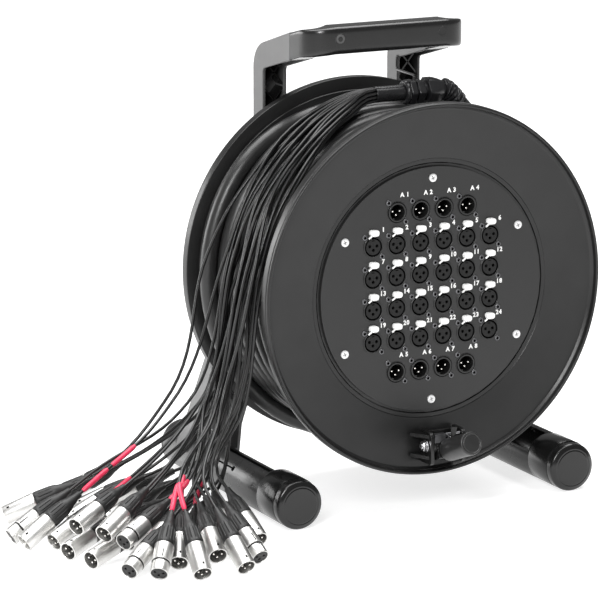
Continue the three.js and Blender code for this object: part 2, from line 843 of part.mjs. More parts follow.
function buildGland() {
  addPiece('tail_sleeve', closed(crossRod(glandDepth, glandHeight, sleeveRadius, sleeveRadius,
    -sleeveMouth, sleeveEnd - clearance, roundSides)), blackRubber);
  addPiece('gland_body', closed(crossRod(glandDepth, glandHeight, hexCorner, hexCorner,
    sleeveEnd, sleeveEnd + glandBodyLength, 6)), darkPlastic);
  addPiece('gland_dome_nut', closed(crossRod(glandDepth, glandHeight, hexCorner, domeTaper,
    domeStart, domeEnd, 6)), darkPlastic);
}

// The cable leaves the gland, rides over the winding to the front and lies down in the free channel
const rideRadius = (windingRadius + runningGap + cableRadius) / Math.cos(toRadians(leadStep / 2));

// Place on the lead at an angle past the top: its radius falls and its depth drifts, both smoothly
function leadPoint(start, angle) {
  const drift = THREE.MathUtils.smoothstep(angle, start, start + leadDriftSpan);
  const drop = THREE.MathUtils.smoothstep(angle, start + leadDriftSpan, start + leadDriftSpan + leadDropSpan);
  const radius = THREE.MathUtils.lerp(rideRadius, turnRadius, drop);
  const depth = THREE.MathUtils.lerp(glandDepth, leadDepth, drift);
  const turn = toRadians(angle);
  return new THREE.Vector3(radius * Math.sin(turn), depth, radius * Math.cos(turn));
}

// Curve from the gland's mouth, level at first, to where the cable touches down on the winding
function exitCurve() {
  const join = toRadians(leadJoinAngle);
  const mouth = new THREE.Vector3(domeEnd + clearance, glandDepth, glandHeight);
  const touch = new THREE.Vector3(rideRadius * Math.sin(join), glandDepth, rideRadius * Math.cos(join));
  const level = mouth.clone().add(new THREE.Vector3(leadHandle, 0, 0));
  const back = new THREE.Vector3(-Math.cos(join), 0, Math.sin(join));
  return new THREE.CubicBezierCurve3(mouth, level, touch.clone().addScaledVector(back, leadHandle), touch);
}

function buildLead() {
  const exit = exitCurve();
  const centres = [];
  const radii = [];
  const steps = reliefRibs * reliefSteps;
  for (let i = 0; i <= steps; i += 1) {
    const share = i / steps;
    const base = THREE.MathUtils.lerp(reliefRootRadius, reliefTipRadius, share);
    const onRib = i % reliefSteps === 1 || i % reliefSteps === 2;
    centres.push(exit.getPoint(share * reliefShare));
    radii.push(onRib ? base + reliefRibHeight : base);
  }
  const level = new THREE.Vector3(1, 0, 0);
  addPiece('bend_relief', ringTube(centres, radii, ribSides, outward, level), blackRubber);

  const first = reliefShare + clearance / exit.getLength();
  const route = [];
  for (let i = 0; i < leadExitSteps; i += 1) {
    route.push(exit.getPoint(THREE.MathUtils.lerp(first, 1, i / leadExitSteps)));
  }
  const total = leadDriftSpan + leadDropSpan + leadTurnSpan;
  for (let angle = 0; angle <= total; angle += leadStep) {
    route.push(leadPoint(leadJoinAngle, leadJoinAngle + angle));
  }
  addPiece('cable_lead', ringTube(route, route.map(() => cableRadius), cableSides, outward), blackRubber);
  return route;
}

// Bail: a wire from the gland's top flat back to the upright
function buildBail() {
  const seat = glandHeight + glandAcross / 2 + clearance;
  const points = [
    new THREE.Vector3(bailAcross, glandDepth, seat),
    new THREE.Vector3(bailAcross, glandDepth, bailTop),
    new THREE.Vector3(armInner - wireRadius, bailRearDepth, bailTop),
    new THREE.Vector3(armInner - wireRadius, bailRearDepth, bailLow),
  ];
  const sideways = () => new THREE.Vector3(1, 0, 0);
  const radii = points.map(() => wireRadius);
  addPiece('gland_bail', ringTube(points, radii, roundSides / 2, sideways), brightSteel);
}

// Crank: bracket on the front flange, folding arm on a bolt, and a grip that spins on its pin
function buildCrank() {
  const half = cheekSpacing / 2;
  const [left, right] = [crankCentre - half, crankCentre + half];
  const base = toSolid(box([left - gussetReach, -crankBaseGap - crankBaseDepth, -cheekBottom],
    [right + cheekThickness, -crankBaseGap, -cheekTop]));
  const cheek = (x) => toSolid(box([x, -cheekFront, -cheekBottom], [x + cheekThickness, -crankBaseGap,
    -cheekTop]));
  const gusset = (z) => toSolid(planPlate([
    [left - gussetReach, -crankBaseGap - clearance],
    [left - cheekThickness / 2, -crankBaseGap - clearance],
    [left - cheekThickness / 2, -cheekFront + clearance],
  ], -z - ribThickness / 2, -z + ribThickness / 2));
  const hole = toSolid(crossRod(-pivotDepth, -pivotDrop, boltRadius + clearance, boltRadius + clearance,
    left - cheekThickness - overrun, right + cheekThickness + overrun, roundSides));
  const bracket = joined([base, cheek(left - cheekThickness), cheek(right), gusset(gussetTop + ribThickness),
    gusset(gussetBottom)]).subtract(hole);
  addPiece('crank_bracket', toGeometry(bracket), blackPaint);

  const boltLeft = left - cheekThickness - clearance;
  const boltRight = right + cheekThickness + clearance;
  const bolt = joined([
    toSolid(crossRod(-pivotDepth, -pivotDrop, boltRadius, boltRadius, boltLeft - boltHeadLength,
      boltRight + boltHeadLength, roundSides)),
    toSolid(crossRod(-pivotDepth, -pivotDrop, boltHeadRadius, boltHeadRadius,
      boltLeft - boltHeadLength, boltLeft, 6)),
    toSolid(crossRod(-pivotDepth, -pivotDrop, boltHeadRadius, boltHeadRadius, boltRight,
      boltRight + boltHeadLength, roundSides)),
  ]);
  addPiece('crank_bolt', toGeometry(bolt), brightSteel);

  // The arm and the grip are drawn straight out along -Y and then lifted about the bolt
  const lift = (geometry) => {
    geometry.rotateX(-toRadians(crankRestAngle));
    geometry.translate(0, -pivotDepth, -pivotDrop);
    return geometry;
  };
  const armHalf = half - runningGap;
  const eye = toSolid(crossRod(0, 0, crankArmRadius, crankArmRadius, crankCentre - armHalf,
    crankCentre + armHalf, roundSides));
  const block = toSolid(box([crankCentre - knobRadius, -crankArmRadius, -crankOffset - crankArmRadius],
    [crankCentre + knobRadius, crankRootReach, 0]));
  const shaft = toSolid(depthRod(crankCentre, -crankOffset, pinShaftRadius,
    -crankArmRadius - knobLength + knobEdge * 2, 0, roundSides));
  const eyeBore = toSolid(crossRod(0, 0, boltRadius + clearance, boltRadius + clearance,
    crankCentre - half - overrun, crankCentre + half + overrun, roundSides));
  const arm = joined([eye, block, shaft]).subtract(eyeBore);
  addPiece('crank_arm', closed(lift(toGeometry(arm))), darkPlastic);

  const root = -crankArmRadius - clearance;
  const tip = root - knobLength;
  const sleeveBore = pinShaftRadius + clearance;
  const boreEnd = -crankArmRadius - knobLength + knobEdge * 2 - clearance;
  const knob = new THREE.LatheGeometry([
    [0, tip],
    [knobRadius - knobEdge, tip],
    [knobRadius, tip + knobEdge],
    [knobRadius, root - knobEdge],
    [knobRadius - knobEdge, root],
    [sleeveBore, root],
    [sleeveBore, boreEnd],
    [0, boreEnd],
  ].map(([radius, depth]) => new THREE.Vector2(radius, depth)), knobSides);
  knob.translate(crankCentre, 0, -crankOffset);
  addPiece('crank_grip', closed(lift(knob)), blackRubber);
}

// Tails: four layers of eight, from the sleeve's mouth over the winding down to their plugs
function plugAxis([x, y, raised, heading, lean]) {
  const [turn, rise] = [toRadians(heading), toRadians(lean)];
  const way = new THREE.Vector3(Math.cos(turn), Math.sin(turn), Math.tan(rise)).normalize();
  const tip = new THREE.Vector3(x, y, plugRadius * Math.cos(rise) + floorGap + raised - axisHeight);
  return { tip, way };
}

function tailRoute(layer, lane) {
  const last = plugPlaces[layer].length - 1;
  const spread = (lane / last) * 2 - 1;
  const middle = (plugPlaces.length - 1) / 2;
  const route = [new THREE.Vector3(-sleeveMouth - clearance, glandDepth + spread * mouthHalfWidths[layer],
    glandHeight + (layer - middle) * mouthStep)];
  const stray = layer === plugPlaces.length - 1 ? strayBows[lane] : undefined;
  tailStations.forEach(({ x, z, near, far, stepX, stepZ }, i) => {
    const depth = near + ((far - near) * (lane + 1 / 2)) / (last + 1);
    const bow = stray ? stray[i] : 0;
    route.push(new THREE.Vector3(x + layer * stepX - bow, depth, z + layer * stepZ));
  });
  return route;
}

function buildTails() {
  const sideways = () => new THREE.Vector3(0, 1, 0);
  plugPlaces.forEach((places, layer) => {
    const tails = places.map((place, lane) => {
      const { tip, way } = plugAxis(place);
      const at = (distance) => tip.clone().addScaledVector(way, distance);
      const bootEnd = shellLength + bootLength;
      const centres = [...tailRoute(layer, lane), at(bootEnd + kneeRun), at(bootEnd), at(shellLength), tip];
      const radii = centres.map((_, i) => (i < centres.length - 3 ? tailRadius : plugRadius));
      radii[centres.length - 3] = bootTipRadius;
      return toSolid(ringTube(centres, radii, tailSides, sideways, new THREE.Vector3(-1, 0, 0)));
    });
    addPiece(`tails_${layer + 1}`, toGeometry(joined(tails)), blackRubber);
  });
}

buildFlanges();
buildCore();
const windingRoute = buildWinding();
buildPanel();
buildSockets();
buildFrame();
buildGrip();
buildFoot(-1, 'left');
buildFoot(1, 'right');
buildAxle();
buildGland();
const leadRoute = buildLead();
buildBail();
buildCrank();

console.log('least gap of the winding', leastGap(windingRoute, loopSteps / 2, cableRadius).toFixed(2));
console.log('least gap of the lead', leastGap(leadRoute, loopSteps / 2, cableRadius).toFixed(2));

// The origin lies under the middle of the object without its tails
const extent = new THREE.Box3().setFromObject(assembly);
console.log('depth from', extent.min.y.toFixed(2), 'to', extent.max.y.toFixed(2));

buildTails();

const boxSnake = new THREE.Group();
boxSnake.name = 'stage_box_snake';
assembly.position.set(0, -(extent.min.y + extent.max.y) / 2, axisHeight);
boxSnake.add(assembly);

export default boxSnake;
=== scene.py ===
"""Dresses the stage box snake: drum, connector panel, frame, gland, crank, winding, tails and plugs.

Lengths are metres. Places on the object are written with depth 0 on the connector panel's face and
height 0 on the drum's axis, and placed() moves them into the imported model's frame.
"""

import logging
import math
from dataclasses import dataclass
from enum import Enum

import bmesh
import bpy
import numpy as np
from mathutils import Matrix, Vector


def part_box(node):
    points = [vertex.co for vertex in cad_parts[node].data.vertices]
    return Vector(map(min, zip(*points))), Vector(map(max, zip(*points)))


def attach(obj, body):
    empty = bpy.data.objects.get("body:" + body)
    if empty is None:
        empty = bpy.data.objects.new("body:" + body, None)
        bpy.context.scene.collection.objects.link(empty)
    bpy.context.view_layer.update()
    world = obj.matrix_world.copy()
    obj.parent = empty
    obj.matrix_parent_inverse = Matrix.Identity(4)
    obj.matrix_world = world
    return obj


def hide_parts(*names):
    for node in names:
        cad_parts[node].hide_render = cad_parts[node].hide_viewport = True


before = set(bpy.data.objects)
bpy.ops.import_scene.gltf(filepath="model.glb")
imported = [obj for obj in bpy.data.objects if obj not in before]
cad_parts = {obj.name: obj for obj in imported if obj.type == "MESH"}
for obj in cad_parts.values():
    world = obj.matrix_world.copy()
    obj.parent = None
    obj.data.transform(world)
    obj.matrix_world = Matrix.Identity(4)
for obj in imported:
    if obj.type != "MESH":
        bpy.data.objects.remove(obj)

LOG = logging.getLogger("box_snake")
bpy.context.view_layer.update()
PANEL_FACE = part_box("connector_panel")[0].y
DRUM_AXIS = (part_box("front_flange")[0].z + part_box("front_flange")[1].z) / 2
ORIGIN = np.array([0.0, PANEL_FACE, DRUM_AXIS])
TURN = 2 * math.pi
SAME_PLACE = 2e-7
NODE_SEAM = 1e-5
NODE_FLAT = 0.5
EDGE_ANGLE = 40.0
CUT_SHARP = 30.0
SIDE_SHARE = 0.49
STRAIGHT = 0.49 * math.pi
SIXTH = math.pi / 3
GLAND_DEPTH = 0.095
GLAND_HEIGHT = 0.184
LEAD_JOIN = 33.0
NOISE_RANGE = (0.3, 0.7)
GLOSS_PATCH = 0.6
GRAIN_DETAIL = 2.0
BUMP_STRENGTH = 0.5
CAPITAL_SHARE = 0.72
LETTER_SPACING = 1.12
LETTER_WEIGHT = 0.055
CONTACT_REACH = 0.0040
CONTACT_RISE = 0.0009
PIN_RADIUS = 0.0010

Shell = tuple[np.ndarray, list]


class Body(Enum):
    """The moving groups of the object."""

    FRAME = "frame"
    DRUM = "drum"
    CRANK = "crank"
    KNOB = "crank_knob"


class Contact(Enum):
    """The two kinds of plug at the end of a tail."""

    MALE = "male"
    FEMALE = "female"


def placed(points: np.ndarray) -> np.ndarray:
    """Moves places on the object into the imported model's frame.

    Args:
        points: places, one row each, with depth 0 on the panel's face and height 0 on the axis.

    Returns:
        The same places plus the origin.
    """
    return np.asarray(points, float) + ORIGIN


def unit(vectors: np.ndarray) -> np.ndarray:
    """Vectors divided by their own lengths."""
    vectors = np.asarray(vectors, float)
    return vectors / np.linalg.norm(vectors, axis=-1, keepdims=True)


def smoothstep(value: np.ndarray, low: float, high: float) -> np.ndarray:
    """Eases from 0 at low to 1 at high as t * t * (3 - 2 t)."""
    t = np.clip((np.asarray(value, float) - low) / (high - low), 0, 1)
    return t * t * (3 - 2 * t)


def window(value: np.ndarray, rise: tuple, fall: tuple) -> np.ndarray:
    """Eases from 0 to 1 over the span rise and back to 0 over the span fall."""
    return smoothstep(value, *rise) * (1 - smoothstep(value, *fall))


def run_along(line: np.ndarray) -> np.ndarray:
    """Distance of each point of a line from its start, along the line."""
    return np.concatenate([[0], np.cumsum(np.linalg.norm(np.diff(line, axis=0), axis=1))])


def about_axis(radius: np.ndarray, depth: np.ndarray, angle: np.ndarray) -> np.ndarray:
    """Points at a radius, a depth and an angle from the top, one row each."""
    return np.column_stack([radius * np.sin(angle), depth, radius * np.cos(angle)])


def grid_faces(rows: int, columns: int, closed: bool = False) -> list:
    """Quads of a grid of points that wraps round its columns.

    Args:
        rows: number of rings.
        columns: number of points in a ring.
        closed: whether the last ring joins the first.

    Returns:
        One list of four point numbers for each face.
    """
    i = np.arange(rows if closed else rows - 1)[:, None]
    j = np.arange(columns)[None, :]
    after, beside = (i + 1) % rows, (j + 1) % columns
    corners = [i * columns + j, i * columns + beside, after * columns + beside, after * columns + j]
    return np.stack(corners, -1).reshape(-1, 4).tolist()


def rounded(corners: list, radius: float | list, steps: int = 4, closed: bool = False) -> np.ndarray:
    """Rounds the corners of a line, in the plane or in space.

    Each corner becomes an arc that touches both of its sides: its centre lies on the bisector at
    radius / sin(half the corner's angle), and it is cut down where a side is too short for it.

    Args:
        corners: the points of the line.
        radius: one radius, or one for each corner.
        steps: pieces of each arc.
        closed: whether the line joins its own start.

    Returns:
        The points of the rounded line.
    """
    points = np.asarray(corners, float)
    count = len(points)
    radii = np.broadcast_to(np.asarray(radius, float), (count,))
    share = np.linspace(0, 1, steps + 1)[:, None]
    pieces = []
    for i, point in enumerate(points):
        before, after = points[i - 1] - point, points[(i + 1) % count] - point
        ends = not closed and i in (0, count - 1)
        if ends or radii[i] <= 0:
            pieces.append(point[None])
            continue
        reach = SIDE_SHARE * min(np.linalg.norm(before), np.linalg.norm(after))
        before, after = unit(before), unit(after)
        half = 0.5 * math.acos(float(np.clip(before @ after, -1, 1)))
        if half > STRAIGHT:
            pieces.append(point[None])
            continue
        tangent = min(radii[i] / math.tan(half), reach)
        centre = point + unit(before + after) * tangent / math.cos(half)
        start, end = point + before * tangent - centre, point + after * tangent - centre
        sweep_angle = math.pi - 2 * half
        blend = np.sin((1 - share) * sweep_angle) * start + np.sin(share * sweep_angle) * end
        pieces.append(centre + blend / math.sin(sweep_angle))
    return np.concatenate(pieces)


def lathe(profile: np.ndarray, segments: int, closed: bool = False) -> Shell:
    """Turns a profile about the depth axis.

    Point (i, j) is (r_i sin a_j, y_i, r_i cos a_j) with a_j = turn * j / segments.

    Args:
        profile: rows of radius and depth.
        segments: points in a ring.
        closed: whether the profile joins its own start.

    Returns:
        Points and faces about the depth axis.
    """
    profile = np.asarray(profile, float)
    angle = np.linspace(0, TURN, segments, endpoint=False)[None]
    radius, depth = profile[:, :1], profile[:, 1:]
    points = np.stack([radius * np.sin(angle), depth + 0 * angle, radius * np.cos(angle)], -1)
    return points.reshape(-1, 3), grid_faces(len(profile), segments, closed)


def turned(corners: list, radius: float | list, steps: int, segments: int,
           closed: bool = False) -> Shell:
    """Turns a line with rounded corners about the depth axis.

    Args:
        corners: rows of radius and depth.
        radius: one rounding, or one for each corner.
        steps: pieces of each rounding.
        segments: points in a ring.
        closed: whether the line joins its own start.

    Returns:
        Points and faces about the depth axis.
    """
    return lathe(rounded(corners, radius, steps, closed), segments, closed)


def disc(radius: float, near: float, far: float, segments: int) -> Shell:
    """A plain disc about the depth axis, from depth near to depth far."""
    return lathe(np.array([[0, near], [radius, near], [radius, far], [0, far]]), segments)


def band(inner: float, outer: float, near: float, far: float, segments: int,
         radius: float | list = 0.0, steps: int = 3) -> Shell:
    """A ring of rectangular section about the depth axis, with rounded corners.

    Args:
        inner: inner radius.
        outer: outer radius.
        near: depth of the front.
        far: depth of the back.
        segments: points in a ring.
        radius: one rounding, or one for each corner.
        steps: pieces of each rounding.

    Returns:
        Points and faces.
    """
    corners = [[inner, near], [outer, near], [outer, far], [inner, far]]
    return turned(corners, radius, steps, segments, closed=True)


def sideways(shell: Shell) -> Shell:
    """A shell whose depth axis is turned onto the X axis."""
    return shell[0][:, [1, 0, 2]], shell[1]


def ring_shell(rings: np.ndarray) -> Shell:
    """Rings of points, in an array (ring, point, 3), joined and capped at both ends.

    Args:
        rings: places, in an array (ring, point, 3).

    Returns:
        Points and faces.
    """
    rows, columns = rings.shape[:2]
    last = (rows - 1) * columns
    caps = [list(range(columns)), list(range(last, last + columns))]
    return rings.reshape(-1, 3), grid_faces(rows, columns) + caps


def hex_rod(stations: list, segments: int) -> Shell:
    """A hexagonal rod along X whose corners are turned down.

    At angle a the radius is the lesser of flat / cos(a folded into a sixth of a turn) and limit.

    Args:
        stations: rows of x, flat and limit.
        segments: points in a ring.

    Returns:
        Points and faces about the X axis.
    """
    x, flat, limit = np.array(stations, float).T
    angle = np.linspace(0, TURN, segments, endpoint=False)
    folded = (angle + SIXTH / 2) % SIXTH - SIXTH / 2
    radius = np.minimum(flat[:, None] / np.cos(folded)[None], limit[:, None])
    return ring_shell(np.stack([x[:, None] + 0 * radius, radius * np.sin(angle), radius * np.cos(angle)], -1))


def tube(path: np.ndarray, radii: np.ndarray, sides: int, up: np.ndarray) -> Shell:
    """A closed tube along a path.

    Point (i, j) is p_i + r_i (cos a_j side_i + sin a_j top_i), where side_i is square to the chord
    of the neighbours and to up, and a fan about the path's end closes each mouth.

    Args:
        path: centres of the rings.
        radii: radius of each ring.
        sides: points in a ring.
        up: a direction, or one for each ring, that is never along the path.

    Returns:
        Points and faces.
    """
    path = np.asarray(path, float)
    radii = np.broadcast_to(np.asarray(radii, float), (len(path),))
    chord = unit(np.gradient(path, axis=0))
    side = unit(np.cross(chord, up))
    top = np.cross(side, chord)
    angle = np.linspace(0, TURN, sides, endpoint=False)[None, :, None]
    spread = np.cos(angle) * side[:, None] + np.sin(angle) * top[:, None]
    rings = path[:, None] + radii[:, None, None] * spread
    points = np.concatenate([rings.reshape(-1, 3), path[:1], path[-1:]])
    first, last = len(path) * sides, (len(path) - 1) * sides
    faces = grid_faces(len(path), sides)
    faces += [[first, (k + 1) % sides, k] for k in range(sides)]
    faces += [[first + 1, last + k, last + (k + 1) % sides] for k in range(sides)]
    return points, faces


def wound(line: np.ndarray, radii: np.ndarray, sides: int) -> Shell:
    """A tube along a line that runs round the drum's axis."""
    return tube(line, radii, sides, unit(line * [1, 0, 1]))


def prism(outline: np.ndarray, near: float, far: float) -> Shell:
    """A plate whose outline (x, z) runs from depth near to depth far.

    Args:
        outline: points (x, z) of the rim.
        near: depth of the front.
        far: depth of the back.

    Returns:
        Points and faces.
    """
    outline = np.asarray(outline, float)
    count = len(outline)
    rings = [np.column_stack([outline[:, 0], np.full(count, y), outline[:, 1]]) for y in (near, far)]
    caps = [list(range(count)), list(range(2 * count - 1, count - 1, -1))]
    return np.concatenate(rings), grid_faces(2, count) + caps


def side_plate(outline: np.ndarray, left: float, right: float) -> Shell:
    """A plate whose outline (y, z) runs from x = left to x = right."""
    return sideways(prism(outline, left, right))


def block(low: tuple, high: tuple) -> Shell:
    """A box between two corners."""
    (x0, y0, z0), (x1, y1, z1) = low, high
    return prism(np.array([[x0, z0], [x1, z0], [x1, z1], [x0, z1]]), y0, y1)


def circle(radius: float, steps: int, x: float = 0.0, z: float = 0.0) -> np.ndarray:
    """Points (x, z) round a circle."""
    angle = np.linspace(0, TURN, steps, endpoint=False)
    return np.column_stack([x + radius * np.cos(angle), z + radius * np.sin(angle)])


def oblong(width: float, height: float, corner: float, x: float = 0.0, z: float = 0.0) -> np.ndarray:
    """Points (x, z) round a rectangle with round corners.

    Args:
        width: size along x.
        height: size along z.
        corner: radius of the corners.
        x: middle along x.
        z: middle along z.

    Returns:
        The places, one row each.
    """
    w, h = width / 2, height / 2
    corners = [[x - w, z - h], [x + w, z - h], [x + w, z + h], [x - w, z + h]]
    return rounded(corners, corner, 5, closed=True)


def filled(outer: np.ndarray, holes: list, near: float, far: float, edge: float) -> Shell:
    """A flat plate with holes right through it and softened edges, filled by a flat curve.

    Args:
        outer: points (x, z) of the rim.
        holes: points (x, z) of each hole.
        near: depth of the front.
        far: depth of the back.
        edge: width of the softened edge, by which the curve grows past its points.

    Returns:
        Points and faces.
    """
    curve = bpy.data.curves.new("flat", "CURVE")
    curve.dimensions = "2D"
    curve.fill_mode = "BOTH"
    curve.extrude = (far - near) / 2 - edge
    curve.bevel_depth = edge
    curve.bevel_resolution = 1
    for line in (outer, *holes):
        spline = curve.splines.new("POLY")
        spline.points.add(len(line) - 1)
        rows = np.column_stack([line, np.zeros(len(line)), np.ones(len(line))])
        spline.points.foreach_set("co", rows.ravel())
        spline.use_cyclic_u = True
    points, faces = curve_shell(curve)
    x, z, y = points.T
    return np.column_stack([x, (near + far) / 2 - y, z]), faces


def read_mesh(mesh: bpy.types.Mesh) -> Shell:
    """Points and faces of a mesh.

    Args:
        mesh: the mesh to read.

    Returns:
        Points and faces.
    """
    points = np.zeros(len(mesh.vertices) * 3)
    mesh.vertices.foreach_get("co", points)
    return points.reshape(-1, 3), [list(face.vertices) for face in mesh.polygons]


def curve_shell(curve: bpy.types.Curve) -> Shell:
    """Points and faces of a curve, which is taken away.

    Args:
        curve: a curve with its own fill or thickness.

    Returns:
        Points and faces.
    """
    holder = bpy.data.objects.new("curve", curve)
    mesh = bpy.data.meshes.new_from_object(holder)
    shell = read_mesh(mesh)
    bpy.data.objects.remove(holder)
    bpy.data.curves.remove(curve)
    bpy.data.meshes.remove(mesh)
    return shell


def linked(name: str, data: bpy.types.ID) -> bpy.types.Object:
    """A new object in the scene.

    Args:
        name: the object's name.
        data: its mesh, curve, camera or light.

    Returns:
        The new object.
    """
    made = bpy.data.objects.new(name, data)
    bpy.context.scene.collection.objects.link(made)
    return made


def aimed(shell: Shell, way: tuple, at: tuple = (0, 0, 0)) -> Shell:
    """Turns a shell so that its depth axis runs along a direction, and moves it.

    Args:
        shell: points and faces about the depth axis.
        way: where +Y goes.
        at: where the origin goes.

    Returns:
        The turned and moved shell.
    """
    turn = np.array(Vector((0, 1, 0)).rotation_difference(Vector(way)).to_matrix())
    return shell[0] @ turn.T + np.asarray(at, float), shell[1]


def moved(shell: Shell, x: float = 0.0, y: float = 0.0, z: float = 0.0) -> Shell:
    """A shell moved by an offset."""
    return shell[0] + np.array([x, y, z]), shell[1]


def copies(shell: Shell, places: list) -> Shell:
    """One shell that repeats another at each place.

    Args:
        shell: the shell to repeat.
        places: an offset for each copy.

    Returns:
        Points and faces.
    """
    points, faces = shell
    offsets = np.asarray(places, float)
    many = (points[None] + offsets[:, None]).reshape(-1, 3)
    return many, [[n + k * len(points) for n in face] for k in range(len(offsets)) for face in faces]


def joined(shells: list) -> Shell:
    """Several shells as one.

    Args:
        shells: the shells to put together.

    Returns:
        Points and faces.
    """
    points, faces, start = [], [], 0
    for part_points, part_faces in shells:
        points.append(part_points)
        faces += [[n + start for n in face] for face in part_faces]
        start += len(part_points)
    return np.concatenate(points), faces


def lettering(text: str, height: float, x: float, z: float, proud: float) -> Shell:
    """Printed characters that lie on the panel, centred on (x, z).

    Args:
        text: the characters.
        height: height of a capital.
        x: middle along x.
        z: middle along z.
        proud: thickness of the print.

    Returns:
        Points and faces.
    """
    letters = bpy.data.curves.new("print", "FONT")
    letters.body = text
    letters.align_x, letters.align_y = "CENTER", "CENTER"
    letters.size = height / CAPITAL_SHARE
    letters.space_character = LETTER_SPACING
    letters.offset = height * LETTER_WEIGHT
    letters.extrude = proud / 2
    letters.resolution_u = 2
    points, faces = curve_shell(letters)
    flat_x, flat_z, flat_y = points.T
    return np.column_stack([x + flat_x, -proud / 2 - flat_y, z + flat_z]), faces


def contact_places() -> list:
    """Places of the three contacts across the face of a socket or a plug."""
    low = CONTACT_RISE - CONTACT_REACH
    return [(-CONTACT_REACH, 0, CONTACT_RISE), (CONTACT_REACH, 0, CONTACT_RISE), (0, 0, low)]


def contact_pin(near: float, far: float) -> Shell:
    """A contact pin with a rounded nose."""
    corners = [[0, near], [PIN_RADIUS, near], [PIN_RADIUS, far], [0, far]]
    return turned(corners, [0, 0.0008, 0, 0], 4, 14)


def grey(level: float) -> tuple[float, float, float]:
    """A neutral tint."""
    return (level, level, level)


@dataclass(frozen=True)
class Finish:
    """A moulded or painted surface: a tint with faint mottling, a fine grain and an uneven gloss."""

    name: str
    tint: tuple[float, float, float]
    roughness: float
    metallic: float = 0.0
    specular: float = 0.5
    mottle: float = 0.12
    mottle_size: float = 0.03
    gloss_spread: float = 0.08
    grain_size: float = 0.0012
    grain_depth: float = 0.00003
    glow: float = 0.0

    def material(self) -> bpy.types.Material:
        """The finish as a material, made once.

        Returns:
            The material.
        """
        label = f"{self.name}_finish"
        known = bpy.data.materials.get(label)
        if known:
            return known
        made = bpy.data.materials.new(label)
        made.use_nodes = True
        tree = made.node_tree
        shader = tree.nodes["Principled BSDF"]
        shader.inputs["Metallic"].default_value = self.metallic
        shader.inputs["Specular IOR Level"].default_value = self.specular
        shader.inputs["Emission Color"].default_value = (1, 1, 1, 1)
        shader.inputs["Emission Strength"].default_value = self.glow
        place = tree.nodes.new("ShaderNodeTexCoord").outputs["Object"]
        self.colour(tree, place, shader)
        self.gloss(tree, place, shader)
        self.relief(tree, place, shader)
        made.diffuse_color = (*self.tint, 1)
        return made

    def noise(self, tree: bpy.types.NodeTree, place: bpy.types.NodeSocket, size: float,
              detail: float = 3.0) -> bpy.types.NodeSocket:
        """Noise whose features are about the given size.

        Args:
            tree: the material's nodes.
            place: the place on the piece.
            size: size of its features.
            detail: number of finer layers.

        Returns:
            The noise, from 0 to 1.
        """
        node = tree.nodes.new("ShaderNodeTexNoise")
        node.inputs["Scale"].default_value = 1 / size
        node.inputs["Detail"].default_value = detail
        tree.links.new(place, node.inputs["Vector"])
        return node.outputs["Fac"]

    def ramp(self, tree: bpy.types.NodeTree, value: bpy.types.NodeSocket, low: float,
             high: float) -> bpy.types.NodeSocket:
        """Spreads noise between two values.

        Args:
            tree: the material's nodes.
            value: the noise.
            low: value at the noise's low end.
            high: value at its high end.

        Returns:
            The spread value.
        """
        node = tree.nodes.new("ShaderNodeMapRange")
        node.inputs["From Min"].default_value, node.inputs["From Max"].default_value = NOISE_RANGE
        node.inputs["To Min"].default_value = low
        node.inputs["To Max"].default_value = high
        tree.links.new(value, node.inputs["Value"])
        return node.outputs["Result"]

    def colour(self, tree: bpy.types.NodeTree, place: bpy.types.NodeSocket,
               shader: bpy.types.Node) -> None:
        """Base colour: the tint, a little darker and lighter in soft patches.

        Args:
            tree: the material's nodes.
            place: the place on the piece.
            shader: the shader that it feeds.
        """
        ramp = tree.nodes.new("ShaderNodeValToRGB")
        dark, light = ramp.color_ramp.elements
        dark.position, light.position = NOISE_RANGE
        dark.color = (*[c * (1 - self.mottle) for c in self.tint], 1)
        light.color = (*[min(1.0, c * (1 + self.mottle)) for c in self.tint], 1)
        tree.links.new(self.noise(tree, place, self.mottle_size), ramp.inputs["Fac"])
        tree.links.new(ramp.outputs["Color"], shader.inputs["Base Color"])

    def gloss(self, tree: bpy.types.NodeTree, place: bpy.types.NodeSocket,
              shader: bpy.types.Node) -> None:
        """Roughness that drifts about its value.

        Args:
            tree: the material's nodes.
            place: the place on the piece.
            shader: the shader that it feeds.
        """
        drift = self.noise(tree, place, self.mottle_size * GLOSS_PATCH)
        low, high = self.roughness - self.gloss_spread / 2, self.roughness + self.gloss_spread / 2
        tree.links.new(self.ramp(tree, drift, low, high), shader.inputs["Roughness"])

    def relief(self, tree: bpy.types.NodeTree, place: bpy.types.NodeSocket,
               shader: bpy.types.Node) -> None:
        """The grain, as a bump.

        Args:
            tree: the material's nodes.
            place: the place on the piece.
            shader: the shader that it feeds.
        """
        bump = tree.nodes.new("ShaderNodeBump")
        bump.inputs["Strength"].default_value = BUMP_STRENGTH
        bump.inputs["Distance"].default_value = self.grain_depth
        tree.links.new(self.noise(tree, place, self.grain_size, GRAIN_DETAIL), bump.inputs["Height"])
        tree.links.new(bump.outputs["Normal"], shader.inputs["Normal"])


